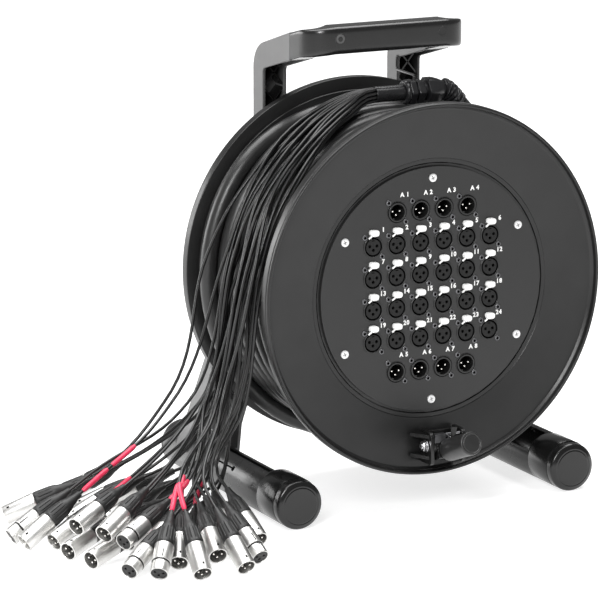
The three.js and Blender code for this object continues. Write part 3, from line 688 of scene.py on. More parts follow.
DRUM_PLASTIC = Finish("drum_plastic", grey(0.011), 0.32, specular=0.42, grain_size=0.0009)
# Painted sheen: the frame's black plastic takes a lighter grey tint that stands in for the bright reflections
# on the arms' sides.
FRAME_PLASTIC_PAINTED_SHEEN = Finish("frame_plastic", grey(0.075), 0.36, mottle=0.06)
FOOT_PLASTIC = Finish("foot_plastic", grey(0.011), 0.28, gloss_spread=0.04)
GRIP_PLASTIC = Finish("grip_plastic", grey(0.009), 0.23, gloss_spread=0.04, grain_size=0.0015)
CAP_PLASTIC = Finish("cap_plastic", grey(0.005), 0.22, gloss_spread=0.04, grain_size=0.0008)
COLLAR_PLASTIC = Finish("collar_plastic", grey(0.005), 0.22, gloss_spread=0.04)
PANEL_PAINT = Finish("panel_paint", grey(0.014), 0.46, mottle=0.04, gloss_spread=0.03,
                     grain_size=0.0007, grain_depth=0.00005)
BRACKET_PLASTIC = Finish("bracket_plastic", grey(0.006), 0.34, mottle_size=0.01)
SOCKET_PLASTIC = Finish("socket_plastic", grey(0.008), 0.32, mottle_size=0.01)
SOCKET_CORE = Finish("socket_core", grey(0.007), 0.50, specular=0.3, mottle_size=0.006)
# Painted shade: a flat near-black finish laid in slots, grooves, cup floors and screw recesses where only
# shade falls.
PAINTED_SHADE = Finish("painted_shade", grey(0.002), 0.9, specular=0.0)
BLACK_SCREW = Finish("black_screw", (0.12, 0.12, 0.125), 0.28, metallic=0.8, mottle_size=0.003)
BRIGHT_STEEL = Finish("bright_steel", (0.55, 0.55, 0.56), 0.28, metallic=1.0, mottle=0.06, mottle_size=0.004)
BLACK_WIRE = Finish("black_wire", grey(0.05), 0.30, metallic=0.7, mottle_size=0.006)
PLATED_STEEL = Finish("plated_steel", grey(0.80), 0.40, metallic=0.6, mottle=0.04,
                      mottle_size=0.004)
LEVER_STEEL = Finish("lever_steel", (0.26, 0.26, 0.27), 0.38, metallic=1.0, mottle_size=0.008)
NICKEL = Finish("nickel", (0.66, 0.655, 0.64), 0.38, metallic=1.0, mottle=0.05, mottle_size=0.008,
                grain_size=0.0004, grain_depth=0.00001)
CONTACT_METAL = Finish("contact_metal", (0.84, 0.82, 0.78), 0.20, metallic=1.0, mottle=0.03)
INSERT_PLASTIC = Finish("insert_plastic", grey(0.006), 0.45, mottle_size=0.006)
TAB_PLASTIC = Finish("tab_plastic", (0.86, 0.86, 0.85), 0.32, mottle=0.03, mottle_size=0.004)
WHITE_PRINT = Finish("white_print", (0.82, 0.82, 0.81), 0.55, mottle=0.05, mottle_size=0.002)
CABLE_JACKET = Finish("cable_jacket", grey(0.017), 0.36, mottle=0.2, grain_size=0.0010)
TAIL_JACKET = Finish("tail_jacket", grey(0.010), 0.30, mottle=0.15, mottle_size=0.04,
                     gloss_spread=0.04, grain_size=0.004, grain_depth=0.000006)
SLEEVE_RUBBER = Finish("sleeve_rubber", (0.014, 0.014, 0.015), 0.28, mottle_size=0.01)
BOOT_RUBBER = Finish("boot_rubber", grey(0.010), 0.50, mottle=0.2, mottle_size=0.01)
KNOB_RUBBER = Finish("knob_rubber", grey(0.020), 0.34, mottle_size=0.01)
GLAND_PLASTIC = Finish("gland_plastic", (0.010, 0.010, 0.011), 0.34, mottle_size=0.01)
RED_MARKER = Finish("red_marker", (0.66, 0.030, 0.085), 0.36, mottle=0.12, mottle_size=0.004)
FLOOR_PAPER = Finish("floor_paper", grey(0.52), 0.9, specular=0.1, mottle=0.0, mottle_size=1.0,
                     grain_size=0.01, grain_depth=0.0, glow=0.74)


def piece(name: str, coats: list, body: Body | str, replaces: tuple = (),
          sharp: float = 32.0, edge: float = 0.0, edge_steps: int = 2) -> bpy.types.Object:
    """Makes one piece of the object from shells and finishes, and seats it on its body.

    Args:
        name: the piece's name.
        coats: pairs of a shell, in places on the object, and its finish.
        body: the body that carries the piece.
        replaces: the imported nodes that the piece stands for.
        sharp: angle in degrees past which an edge stays sharp.
        edge: width of a bevel on the sharp edges, or 0.
        edge_steps: rows of the bevel.

    Returns:
        The new object.
    """
    points, faces = joined([shell for shell, _ in coats])
    mesh = bpy.data.meshes.new(name)
    mesh.from_pydata(placed(points).tolist(), [], faces)
    finishes = list(dict.fromkeys(finish for _, finish in coats))
    for finish in finishes:
        mesh.materials.append(finish.material())
    numbers = np.concatenate([np.full(len(faces), finishes.index(finish))
                              for (_, faces), finish in coats])
    mesh.polygons.foreach_set("material_index", numbers.astype(np.int32))
    tidy_mesh(mesh, sharp)
    made = linked(name, mesh)
    if edge:
        add_edge(made, edge, edge_steps)
    return seated(made, body, replaces)


def tidy_mesh(mesh: bpy.types.Mesh, sharp: float) -> None:
    """Closes seams and poles, points the faces outwards and marks the sharp edges.

    Args:
        mesh: the mesh to work on.
        sharp: angle in degrees past which an edge stays sharp.
    """
    work = bmesh.new()
    work.from_mesh(mesh)
    bmesh.ops.remove_doubles(work, verts=work.verts, dist=SAME_PLACE)
    bmesh.ops.recalc_face_normals(work, faces=work.faces)
    work.to_mesh(mesh)
    work.free()
    mesh.polygons.foreach_set("use_smooth", np.ones(len(mesh.polygons), bool))
    mesh.set_sharp_from_angle(angle=math.radians(sharp))
    mesh.update()


def add_edge(made: bpy.types.Object, width: float, steps: int) -> None:
    """Softens the sharp edges of a piece.

    Args:
        made: the piece.
        width: width of the bevel.
        steps: rows of the bevel.
    """
    bevel = made.modifiers.new("edge", "BEVEL")
    bevel.width = width
    bevel.segments = steps
    bevel.limit_method = "ANGLE"
    bevel.angle_limit = math.radians(EDGE_ANGLE)
    bevel.miter_outer = "MITER_ARC"
    bevel.harden_normals = True


def seated(made: bpy.types.Object, body: Body | str, replaces: tuple = ()) -> bpy.types.Object:
    """Seats a finished piece on its body and the nodes that it stands for.

    Args:
        made: the piece.
        body: the body that carries it.
        replaces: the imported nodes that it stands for.

    Returns:
        The same piece.
    """
    carrier = body.value if isinstance(body, Body) else body
    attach(made, carrier)
    if replaces:
        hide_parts(*replaces)
    LOG.info("%s rides on %s", made.name, carrier)
    return made


def worn_node(name: str, finish: Finish) -> None:
    """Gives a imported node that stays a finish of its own.

    Args:
        name: the node's name.
        finish: its finish.
    """
    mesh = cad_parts[name].data
    mesh.materials.clear()
    mesh.materials.append(finish.material())
    LOG.info("%s keeps its solid", name)


def carved(shell: Shell, cutters: list) -> Shell:
    """Cuts shells out of another.

    Args:
        shell: the shell to cut.
        cutters: closed shells to take away.

    Returns:
        Points and faces of what is left.
    """
    def holder(part: Shell) -> bpy.types.Object:
        """A closed object for the cut.

        Args:
            part: a closed shell.

        Returns:
            The object.
        """
        mesh = bpy.data.meshes.new("cut")
        mesh.from_pydata(part[0].tolist(), [], part[1])
        tidy_mesh(mesh, CUT_SHARP)
        return linked("cut", mesh)

    target = holder(shell)
    tools = [holder(cutter) for cutter in cutters]
    for tool in tools:
        cut = target.modifiers.new("cut", "BOOLEAN")
        cut.operation = "DIFFERENCE"
        cut.solver = "EXACT"
        cut.object = tool
    view = bpy.context.evaluated_depsgraph_get()
    mesh = bpy.data.meshes.new_from_object(target.evaluated_get(view))
    left = read_mesh(mesh)
    bpy.data.meshes.remove(mesh)
    for one in (target, *tools):
        data = one.data
        bpy.data.objects.remove(one)
        bpy.data.meshes.remove(data)
    return left


def node_shell(name: str) -> Shell:
    """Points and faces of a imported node's solid, with merged points and whole flat faces.

    Args:
        name: the node's name.

    Returns:
        Points and faces.
    """
    work = bmesh.new()
    work.from_mesh(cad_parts[name].data)
    bmesh.ops.remove_doubles(work, verts=work.verts, dist=NODE_SEAM)
    flat = math.radians(NODE_FLAT)
    bmesh.ops.dissolve_limit(work, angle_limit=flat, verts=work.verts, edges=work.edges)
    mesh = bpy.data.meshes.new(name)
    work.to_mesh(mesh)
    work.free()
    points, faces = read_mesh(mesh)
    bpy.data.meshes.remove(mesh)
    return points - ORIGIN, faces


@dataclass
class Studio:
    """Camera, floor and soft lights."""

    place: tuple = (-1.71997, -3.11839, 0.79991)
    right: tuple = (0.89294067, -0.45017434, -0.00018701)
    up: tuple = (0.10021786, 0.19838151, 0.97498777)
    forward: tuple = (0.43887737, 0.87062497, -0.22225843)
    lens_mm: float = 218.15
    sensor_mm: float = 36.0
    far_clip: float = 60.0
    floor_size: float = 40.0
    sky: float = 0.24
    boxes: tuple = (
        ("ceiling_box", (0.0, 0.6, 3.0), (0.0, 0.3, 0.0), (3.6, 3.0), 190),
        ("back_box", (-2.0, 2.4, 0.75), (0.0, 0.0, 0.22), (2.0, 1.1), 40),
        ("left_box", (-1.15, -1.2, 1.1), (0.0, 0.0, 0.22), (0.5, 0.8), 24),
    )

    def camera(self) -> None:
        """A camera at the photograph's place."""
        data = bpy.data.cameras.new("camera")
        data.lens = self.lens_mm
        data.sensor_width = self.sensor_mm
        data.clip_end = self.far_clip
        made = linked("camera", data)
        backwards = [-c for c in self.forward]
        columns = zip(self.right, self.up, backwards, placed(self.place))
        made.matrix_world = Matrix([[*row] for row in columns] + [[0, 0, 0, 1]])
        bpy.context.scene.camera = made

    def floor(self) -> None:
        """A plain pale floor."""
        half = self.floor_size / 2
        mesh = bpy.data.meshes.new("floor")
        corners = [(-half, -half, 0), (half, -half, 0), (half, half, 0), (-half, half, 0)]
        mesh.from_pydata(corners, [], [(0, 1, 2, 3)])
        mesh.materials.append(FLOOR_PAPER.material())
        linked("floor", mesh)

    def light(self, name: str, place: tuple, aim: tuple, size: tuple, power: float) -> None:
        """A soft box of light that looks at a point.

        Args:
            name: the light's name.
            place: where it stands.
            aim: where it looks.
            size: its width and height.
            power: its power in watts.
        """
        data = bpy.data.lights.new(name, "AREA")
        data.shape = "RECTANGLE"
        data.size, data.size_y = size
        data.energy = power
        made = linked(name, data)
        made.location = place
        way = Vector(aim) - Vector(place)
        made.rotation_euler = way.to_track_quat("-Z", "Y").to_euler()

    def build(self) -> None:
        """Camera, floor, sky and lights."""
        self.camera()
        self.floor()
        world = bpy.data.worlds.new("studio")
        world.use_nodes = True
        sky = world.node_tree.nodes["Background"]
        sky.inputs["Color"].default_value = (1, 1, 1, 1)
        sky.inputs["Strength"].default_value = self.sky
        bpy.context.scene.world = world
        bpy.context.scene.view_settings.view_transform = "Standard"
        for box in self.boxes:
            self.light(*box)


@dataclass
class PlugKind:
    """The plug at the end of a tail: shell, insert, contacts and boot, along its own axis."""

    radius: float = 0.0095
    shell_length: float = 0.034
    boot_length: float = 0.041
    bore_radius: float = 0.0082
    bore_depth: float = 0.012
    nose_radius: float = 0.0089
    nose_length: float = 0.0115
    ring_width: float = 0.0017
    boot_radius: float = 0.0092
    boot_stations: tuple = (0, 0.03, 0.10, 0.42, 0.55, 0.70, 0.82, 0.86, 1.0)
    boot_shares: tuple = (0.93, 1.0, 1.0, 0.90, 0.80, 0.56, 0.46, 0.40, 0.34)
    boot_rings: int = 34
    boot_points: int = 84
    grooves: int = 14
    groove_depth: float = 0.0006
    groove_edges: tuple = (0.55, 0.95)
    groove_rise: tuple = (0.06, 0.12)
    groove_fall: tuple = (0.42, 0.56)
    contact_hole: float = 0.00145
    segments: int = 48

    def boot(self) -> Shell:
        """The boot: a ribbed barrel that narrows into a plain nozzle.

        The radius runs straight between its stations, less a groove where cos(n a) is high.

        Returns:
            Points and faces.
        """
        length = np.linspace(0, 1, self.boot_rings)
        radius = np.interp(length, self.boot_stations, self.boot_shares) * self.boot_radius
        angle = np.linspace(0, TURN, self.boot_points, endpoint=False)
        groove = smoothstep(np.cos(self.grooves * angle), *self.groove_edges)[None]
        grooved = window(length, self.groove_rise, self.groove_fall)[:, None]
        r = radius[:, None] - self.groove_depth * groove * grooved
        y = (self.shell_length + length * self.boot_length)[:, None] + 0 * angle[None]
        return ring_shell(np.stack([r * np.sin(angle), y, r * np.cos(angle)], -1))

    def male(self) -> list:
        """Shell, insert, pins and key of a plug with pins, and its slot as a strip of painted shade.

        Returns:
            Pairs of a shell and its finish.
        """
        R, B, deep, end = self.radius, self.bore_radius, self.bore_depth, self.shell_length
        wall = [[B, deep], [B, 0], [R, 0], [R, end - 0.001], [R - 0.0006, end], [B, end]]
        shell = turned(wall, 0.0004, 3, self.segments, closed=True)
        floor = disc(B - 0.0001, deep - 0.001, deep + 0.004, self.segments)
        pins = copies(contact_pin(0.0016, deep), contact_places())
        key = block((-0.0012, 0.0012, B - 0.0016), (0.0012, deep, B + 0.0003))
        # The slot is not cut: a thin strip of painted shade lies on the shell.
        slot = block((-0.0009, 0.0052, R - 0.0005), (0.0009, 0.0078, R + 0.00006))
        return [(shell, NICKEL), (floor, INSERT_PLASTIC), (pins, CONTACT_METAL), (key, NICKEL),
                (slot, PAINTED_SHADE)]

    def female(self) -> list:
        """Shell, ring, nose, latch and face of a plug with holes, with painted shade behind the face's holes
        and as the latch's slot.

        Returns:
            Pairs of a shell and its finish.
        """
        R, N, end = self.radius, self.nose_radius, self.shell_length
        start = self.nose_length + self.ring_width
        wall = [[N - 0.002, start], [R, start], [R, end - 0.001], [R - 0.0006, end], [N - 0.002, end]]
        shell = turned(wall, 0.0005, 3, self.segments, closed=True)
        ring = band(N - 0.002, N + 0.0001, self.nose_length, start, self.segments)
        nose = band(N - 0.0011, N, 0, self.nose_length, self.segments, 0.0004)
        holes = [circle(self.contact_hole, 12, x, z) for x, _, z in contact_places()]
        face = filled(circle(N - 0.0014, 32), holes, 0.0008, 0.006, 0.0001)
        # A disc of painted shade behind the face darkens the contact holes, and the slot is a strip of
        # painted shade on the shell.
        back = disc(N - 0.0012, 0.0055, 0.007, 24)
        latch = block((-0.0022, 0.0006, N - 0.0016), (0.0022, 0.009, N + 0.0003))
        slot = block((-0.0005, start + 0.0015, R - 0.0004), (0.0005, start + 0.0115, R + 0.00008))
        return [(shell, NICKEL), (ring, INSERT_PLASTIC), (nose, NICKEL), (face, INSERT_PLASTIC),
                (back, PAINTED_SHADE), (latch, NICKEL), (slot, PAINTED_SHADE)]

    def build(self, name: str, kind: Contact, tip: np.ndarray, way: np.ndarray) -> bpy.types.Object:
        """A plug with its tip at a place and its boot along a direction.

        Args:
            name: the plug's name.
            kind: pins or holes.
            tip: place of its tip.
            way: direction from its tip to its boot.

        Returns:
            The plug.
        """
        coats = self.male() if kind is Contact.MALE else self.female()
        coats = [*coats, (self.boot(), BOOT_RUBBER)]
        laid = [(aimed(shell, way, tip), finish) for shell, finish in coats]
        return piece(name, laid, Body.FRAME, sharp=35)


# Route of the tails by stations: place of the innermost layer (x, z), the depths of the first and
# the last lane, and the step from one layer to the next
TAIL_STATIONS = [
    (-0.0579, 0.1683, 0.062, 0.104, -0.0014, 0.0040),
    (-0.1096, 0.1403, 0.034, 0.100, -0.0026, 0.0033),
    (-0.1510, 0.0943, 0.020, 0.098, -0.0037, 0.0023),
    (-0.1753, 0.0309, 0.015, 0.094, -0.0045, 0.0008),
    (-0.2000, -0.1050, 0.014, 0.096, -0.0076, 0.0006),
]

# How far the two stray tails of the outer layer, (layer, lane), bow out at each station
STRAY_BOWS = {(3, 6): (0, 0, 0, 0.005, 0.020), (3, 7): (0, 0, 0.004, 0.014, 0.028)}

# Where each plug lies: its tip, how high it is raised, and its heading and lean in degrees
PLUG_PLACES = [
    [
        (-0.222, -0.058, 0, 92, 28), (-0.240, -0.032, 0, 78, 18), (-0.276, -0.008, 0, 46, 12),
        (-0.302, 0.026, 0, 22, 14), (-0.330, 0.066, 0, 12, 18), (-0.300, 0.094, 0, -4, 20),
        (-0.338, 0.122, 0, -18, 24), (-0.296, 0.142, 0, -30, 24),
    ],
    [
        (-0.256, -0.074, 0, 90, 28), (-0.300, -0.062, 0, 60, 16), (-0.330, -0.036, 0, 38, 18),
        (-0.340, -0.008, 0, 24, 12), (-0.360, 0.088, 0, 0, 26), (-0.350, 0.032, 0, 14, 14),
        (-0.372, 0.150, 0, -24, 26), (-0.334, 0.172, 0, -34, 31),
    ],
    [
        (-0.246, -0.110, 0, 96, 31), (-0.281, -0.089, 0, 80, 26), (-0.378, -0.096, 0, 34, 22),
        (-0.324, -0.092, 0, 63, 31), (-0.397, -0.049, 0, 24, 12), (-0.405, -0.012, 0, 25, 14),
        (-0.404, 0.025, 0, 18, 24), (-0.434, 0.062, 0, 2, 31),
    ],
    [
        (-0.272, -0.133, 0, 92, 34), (-0.318, -0.133, 0, 80, 35), (-0.355, -0.114, 0, 54, 34),
        (-0.371, -0.068, 0.020, 28, 19), (-0.384, -0.051, 0.025, 29, 23), (-0.398, -0.016, 0.025, 25, 19),
        (-0.430, 0.038, 0, 7, 32), (-0.411, 0.133, 0, -20, 24),
    ],
]

# Layer and lane of the plugs with holes, and of the tails that wear red markers, with the gap from
# the boot to each marker
FEMALE_PLUGS = {(3, 2), (3, 3), (2, 0), (2, 2), (2, 7), (1, 5), (0, 3)}
RED_TAILS = {(3, 6): (0.004, 0.044), (2, 6): (0.002,), (3, 3): (0.002,), (3, 2): (0.003,),
             (2, 3): (0.006,), (3, 1): (0.004,), (2, 5): (0.003,), (1, 1): (0.01,)}


@dataclass
class TailFan:
    """The fan of tails from the sleeve's mouth, over the winding, down to the plugs on the floor."""

    radius: float = 0.0017
    mouth_x: float = -0.0163
    mouth_step: float = 0.00375
    mouth_half_widths: tuple = (0.0034, 0.0052, 0.0052, 0.0034)
    knee_run: float = 0.026
    inside_boot: float = 0.016
    floor_gap: float = 0.0005
    ripple: float = 0.0048
    flange_room: tuple = (0.009, 0.030)
    lift: float = 0.0015
    waves: tuple = ((1.0, 1.7, 1.0), (0.6, 3.1, 2.6))
    lift_turns: float = 2.2
    lift_shift: float = 1.9
    wave_rise: tuple = (0.02, 0.25)
    wave_fall: tuple = (0.70, 0.86)
    layer_phase: float = 1.7
    lane_phase: float = 2.3
    points: int = 40
    marker_radius: float = 0.0026
    marker_length: float = 0.034
    marker_rings: int = 12
    marker_points: int = 14
    marker_up: tuple = (0, 0.2, 1)
    section_steps: int = 3
    marker_shrink: float = 0.25
    marker_edge: float = 0.0008

    def axis(self, place: tuple, plug: PlugKind) -> tuple:
        """Tip of a plug and the way from its tip to its boot.

        Args:
            place: a row of PLUG_PLACES.
            plug: the plug's sizes.

        Returns:
            The tip, and the way as a unit vector.
        """
        x, y, raised, heading, lean = place
        turn, rise = math.radians(heading), math.radians(lean)
        way = unit(np.array([math.cos(turn), math.sin(turn), math.tan(rise)]))
        height = plug.radius * math.cos(rise) + self.floor_gap + raised - DRUM_AXIS
        return np.array([x, y, height]), way

    def route(self, layer: int, lane: int, plug: PlugKind) -> np.ndarray:
        """The points that a tail's line goes through, from the mouth to inside its boot.

        Args:
            layer: the layer, from 0 for the innermost.
            lane: the lane in that layer.
            plug: the plug's sizes.

        Returns:
            The places, one row each.
        """
        last = len(PLUG_PLACES[layer]) - 1
        spread = lane / last * 2 - 1
        middle = (len(PLUG_PLACES) - 1) / 2
        mouth_y = GLAND_DEPTH + spread * self.mouth_half_widths[layer]
        mouth_z = GLAND_HEIGHT + (layer - middle) * self.mouth_step
        bows = STRAY_BOWS.get((layer, lane), (0,) * len(TAIL_STATIONS))
        points = [(self.mouth_x, mouth_y, mouth_z)]
        for (x, z, near, far, step_x, step_z), bow in zip(TAIL_STATIONS, bows):
            depth = near + (far - near) * (lane + 0.5) / (last + 1)
            points.append((x + layer * step_x - bow, depth, z + layer * step_z))
        tip, way = self.axis(PLUG_PLACES[layer][lane], plug)
        boot_end = plug.shell_length + plug.boot_length
        points += [tip + way * (boot_end + self.knee_run), tip + way * boot_end]
        points.append(tip + way * (boot_end - self.inside_boot))
        return np.array(points)

    def line(self, knots: np.ndarray, phase: float) -> np.ndarray:
        """A smooth line through the knots.

        Between two knots it is the cubic whose slopes are the changes of place with distance at
        them, and small sines across it keep the tails from running alike.

        Args:
            knots: the points that the line goes through.
            phase: where its sines start.

        Returns:
            Points of the line, one row each.
        """
        chord = np.linalg.norm(np.diff(knots, axis=0), axis=1)
        along = run_along(knots)
        slopes = np.gradient(knots, along, axis=0)
        slopes[0] = np.array([-1.0, 0, 0])
        slopes[-1] = unit(knots[-1] - knots[-2])
        at = np.linspace(0, along[-1], self.points)
        i = np.clip(np.searchsorted(along, at, side="right") - 1, 0, len(chord) - 1)
        h = chord[i][:, None]
        t = ((at - along[i]) / chord[i])[:, None]
        line = ((2 * t**3 - 3 * t**2 + 1) * knots[i] + (t**3 - 2 * t**2 + t) * h * slopes[i]
                + (3 * t**2 - 2 * t**3) * knots[i + 1] + (t**3 - t**2) * h * slopes[i + 1])
        share = at / along[-1]
        free = window(share, self.wave_rise, self.wave_fall)
        waves = sum(size * np.sin(TURN * turns * share + shift * phase)
                    for size, turns, shift in self.waves)
        sway = self.ripple * free * waves * smoothstep(line[:, 1], *self.flange_room)
        swell = 1 + np.sin(TURN * self.lift_turns * share + self.lift_shift * phase)
        outward = unit(line * [1, 0, 1]) * (self.lift * free * swell)[:, None]
        return line + outward + np.column_stack([0 * sway, sway, 0 * sway])

    def marker(self, name: str, line: np.ndarray, gap: float) -> bpy.types.Object:
        """A heat-shrunk sleeve on a tail, a gap above its boot.

        Args:
            name: the marker's name.
            line: points of the tail.
            gap: how far it ends above the boot.

        Returns:
            The marker.
        """
        along = run_along(line)
        end = along[-1] - self.inside_boot - gap
        at = np.linspace(end - self.marker_length, end, self.marker_rings)
        path = np.column_stack([np.interp(at, along, line[:, k]) for k in range(3)])
        from_end = np.minimum(at - at[0], at[-1] - at)
        radii = self.marker_radius * (1 - self.marker_shrink * np.exp(-from_end / self.marker_edge))
        sleeve = tube(path, radii, self.marker_points, self.marker_up)
        return piece(name, [(sleeve, RED_MARKER)], Body.FRAME, sharp=60)

    def build(self) -> None:
        """Makes every tail with its plug, and its markers where it has some."""
        plug = PlugKind()
        for layer, places in enumerate(PLUG_PLACES):
            for lane, place in enumerate(places):
                mark = f"{layer + 1}_{lane + 1}"
                tip, way = self.axis(place, plug)
                kind = Contact.FEMALE if (layer, lane) in FEMALE_PLUGS else Contact.MALE
                on_it = [plug.build(f"plug_{mark}", kind, tip, way)]
                phase = self.layer_phase * layer + self.lane_phase * lane
                line = self.line(self.route(layer, lane, plug), phase)
                for number, gap in enumerate(RED_TAILS.get((layer, lane), ())):
                    on_it.append(self.marker(f"marker_{mark}_{number + 1}", line, gap))
                self.tail(f"tail_{mark}", line, f"tails_{layer + 1}")

    def tail(self, name: str, line: np.ndarray, node: str) -> None:
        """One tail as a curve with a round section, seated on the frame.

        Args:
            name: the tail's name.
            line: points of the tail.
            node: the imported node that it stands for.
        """
        curve = bpy.data.curves.new(name, "CURVE")
        curve.dimensions = "3D"
        curve.bevel_depth = self.radius
        curve.bevel_resolution = self.section_steps
        curve.use_fill_caps = True
        spline = curve.splines.new("POLY")
        spline.points.add(len(line) - 1)
        rows = np.column_stack([placed(line), np.ones(len(line))])
        spline.points.foreach_set("co", rows.ravel())
        spline.use_smooth = True
        curve.materials.append(TAIL_JACKET.material())
        made = seated(linked(name, curve), Body.FRAME, (node,))


@dataclass
class Drum:
    """Flanges and winding of the drum."""

    flange_radius: float = 0.190
    rim_front: float = 0.0105
    rim_back: float = 0.002
    rim_wall: float = 0.004
    cove: float = 0.003
    dish_front: float = 0.0028
    dish_back: float = 0.002
    sheet: float = 0.0045
    opening_radius: float = 0.1285
    lip_front: float = 0.0027
    depth: float = 0.176
    hub_radius: float = 0.024
    hub_reach: float = 0.050
    hub_back: float = 0.013
    bore_radius: float = 0.0153
    segments: int = 192
    corner_steps: int = 4
    cable_radius: float = 0.0086
    turn_radius: float = 0.1634
    turns: int = 7
    first_turn: float = 0.0346
    last_turn: float = 0.1600
    turn_steps: int = 72
    turn_points: int = 20
    ease: float = 0.3
    turn_gap: float = 0.0004
    ripple: float = 0.0003
    ripple_turns: float = 0.61
    ripple_start: float = 0.7
    climb_rise: tuple = (0.60, 0.46)
    climb_fall: tuple = (0.16, 0.02)
    under_radius: float = 0.1446
    under_depths: tuple = (0.0166, 0.1594)
    under_turns: float = 8.3
    under_steps: int = 48
    under_points: int = 14
    under_start: float = 1.9
    ride_radius: float = 0.1814
    lead_depth: float = 0.0160
    lead_drift: float = 36.0
    lead_drop: float = 30.0
    lead_turn: float = 322.0
    lead_step: float = 3.0
    ribs: int = 12
    rib_half: float = 0.0012

    def rim(self) -> list:
        """Corners of the rim, from its back round its lip to the dish, with their roundings.

        Returns:
            Pairs of a corner (radius, depth) and its rounding.
        """
        R, W = self.flange_radius, self.rim_wall
        front = -self.rim_front
        inner = R - W
        return [
            ([R, self.rim_back], 0.0008),
            ([R, front + 0.0036], 0.0004),
            ([R - 0.0007, front + 0.0030], 0.0004),
            ([R - 0.0007, front], 0.0012),
            ([inner + 0.0004, front], 0.0012),
            ([inner, -self.dish_front - self.cove], 0.0026),
            ([inner - self.cove, -self.dish_front], 0.0020),
        ]

    def flange(self, corners: list) -> Shell:
        """A flange turned from its corners and their roundings."""
        points, radii = zip(*corners)
        return turned(points, radii, self.corner_steps, self.segments, closed=True)

    def front_flange(self) -> None:
        """The dished front flange with its beaded rim and the opening for the panel."""
        O = self.opening_radius
        corners = [*self.rim(), ([O + 0.0046, self.dish_back - 0.0001], 0.0003),
                   ([O + 0.0040, self.lip_front], 0.0003), ([O, self.lip_front], 0.0004),
                   ([O, self.dish_back + self.sheet], 0.0006)]
        piece("drum_front_flange", [(self.flange(corners), DRUM_PLASTIC)], Body.DRUM,
              ("front_flange",), sharp=40)

    def rear_flange(self) -> None:
        """The rear flange, which faces the other way, carries the hub and is ribbed in its dish."""
        H, O = self.hub_radius, self.opening_radius
        face = self.depth - self.dish_back
        inside = face - self.sheet
        back = [([r, self.depth - y], k) for (r, y), k in self.rim()]
        hub = [
            ([O, face], 0.002), ([H + 0.006, face], 0.004), ([H, face + 0.006], 0.003),
            ([H, face + self.hub_back], 0.001), ([self.bore_radius, face + self.hub_back], 0.0006),
            ([self.bore_radius, inside - self.hub_reach], 0.0006),
            ([H, inside - self.hub_reach], 0.001), ([H, inside], 0.003), ([O, inside], 0.0),
            ([0.1760, inside + 0.0022], 0.0008), ([0.1765, inside + 0.0030], 0.0008),
            ([0.1790, inside + 0.0030], 0.0008),
        ]
        inner, outer = H + 0.004, O - 0.004
        outline = [[face - 0.001, inner], [face + 0.0075, inner], [face + 0.0015, outer],
                   [face - 0.001, outer]]
        points, faces = side_plate(np.array(outline), -self.rib_half, self.rib_half)
        turns = [Matrix.Rotation(TURN * k / self.ribs, 3, "Y") for k in range(self.ribs)]
        shells = [self.flange(back + hub), *[(points @ np.array(turn).T, faces) for turn in turns]]
        piece("drum_rear_flange", [(joined(shells), DRUM_PLASTIC)], Body.DRUM,
              ("rear_flange",), sharp=40)

    def winding_line(self) -> np.ndarray:
        """Centres of the outer turns.

        The line is a helix whose depth ripples a little. Near the rear flange the last turn climbs
        into the groove in front of it, on the left, and leaves a gap behind.

        Returns:
            The places, one row each.
        """
        end = self.turns
        turn = np.linspace(0, end, end * self.turn_steps + 1)
        angle = TURN * turn
        depth = self.first_turn + (self.last_turn - self.first_turn) * turn / end
        free = window(turn, (0.0, self.ease), (end - self.ease, end))
        depth = depth + free * self.ripple * np.sin(angle * self.ripple_turns + self.ripple_start)
        rise, fall = [tuple(end - back for back in span) for span in (self.climb_rise, self.climb_fall)]
        climb = window(turn, rise, fall)
        pitch = (self.last_turn - self.first_turn) / end
        depth = depth - climb * pitch / 2
        lift = math.sqrt(4 * self.cable_radius**2 - (pitch / 2) ** 2) + self.turn_gap
        return about_axis(self.turn_radius + climb * lift, depth, angle)

    def under_line(self) -> np.ndarray:
        """Centres of the turns below: a plain helix about the drum's axis.

        Returns:
            The places, one row each.
        """
        turn = np.linspace(0, self.under_turns, int(self.under_turns * self.under_steps) + 1)
        first, last = self.under_depths
        depth = first + (last - first) * turn / self.under_turns
        return about_axis(self.under_radius, depth, TURN * turn + self.under_start)

    def winding(self) -> None:
        """The outer turns over a layer of turns that fills the gaps between them."""
        for name, line, sides, node in (
                ("winding_outer_turns", self.winding_line(), self.turn_points, "cable_winding"),
                ("winding_under_turns", self.under_line(), self.under_points, "winding_core")):
            piece(name, [(wound(line, self.cable_radius, sides), CABLE_JACKET)], Body.DRUM,
                  (node,), sharp=60)

    def lead_line(self) -> np.ndarray:
        """Centres of the lead, from the touch-down on the winding to its end in the free channel.

        It rides round at one radius, drifts forward to the channel and then drops into it.

        Returns:
            The places, one row each.
        """
        total = self.lead_drift + self.lead_drop + self.lead_turn
        past = np.linspace(0, total, int(total / self.lead_step) + 1)
        drift = smoothstep(past, 0, self.lead_drift)
        drop = smoothstep(past, self.lead_drift, self.lead_drift + self.lead_drop)
        radius = self.ride_radius + (self.turn_radius - self.ride_radius) * drop
        depth = GLAND_DEPTH + (self.lead_depth - GLAND_DEPTH) * drift
        return about_axis(radius, depth, np.radians(past + LEAD_JOIN))

    def build(self) -> None:
        """Flanges, core and winding."""
        self.front_flange()
        self.rear_flange()
        self.winding()
        worn_node("drum_core", DRUM_PLASTIC)


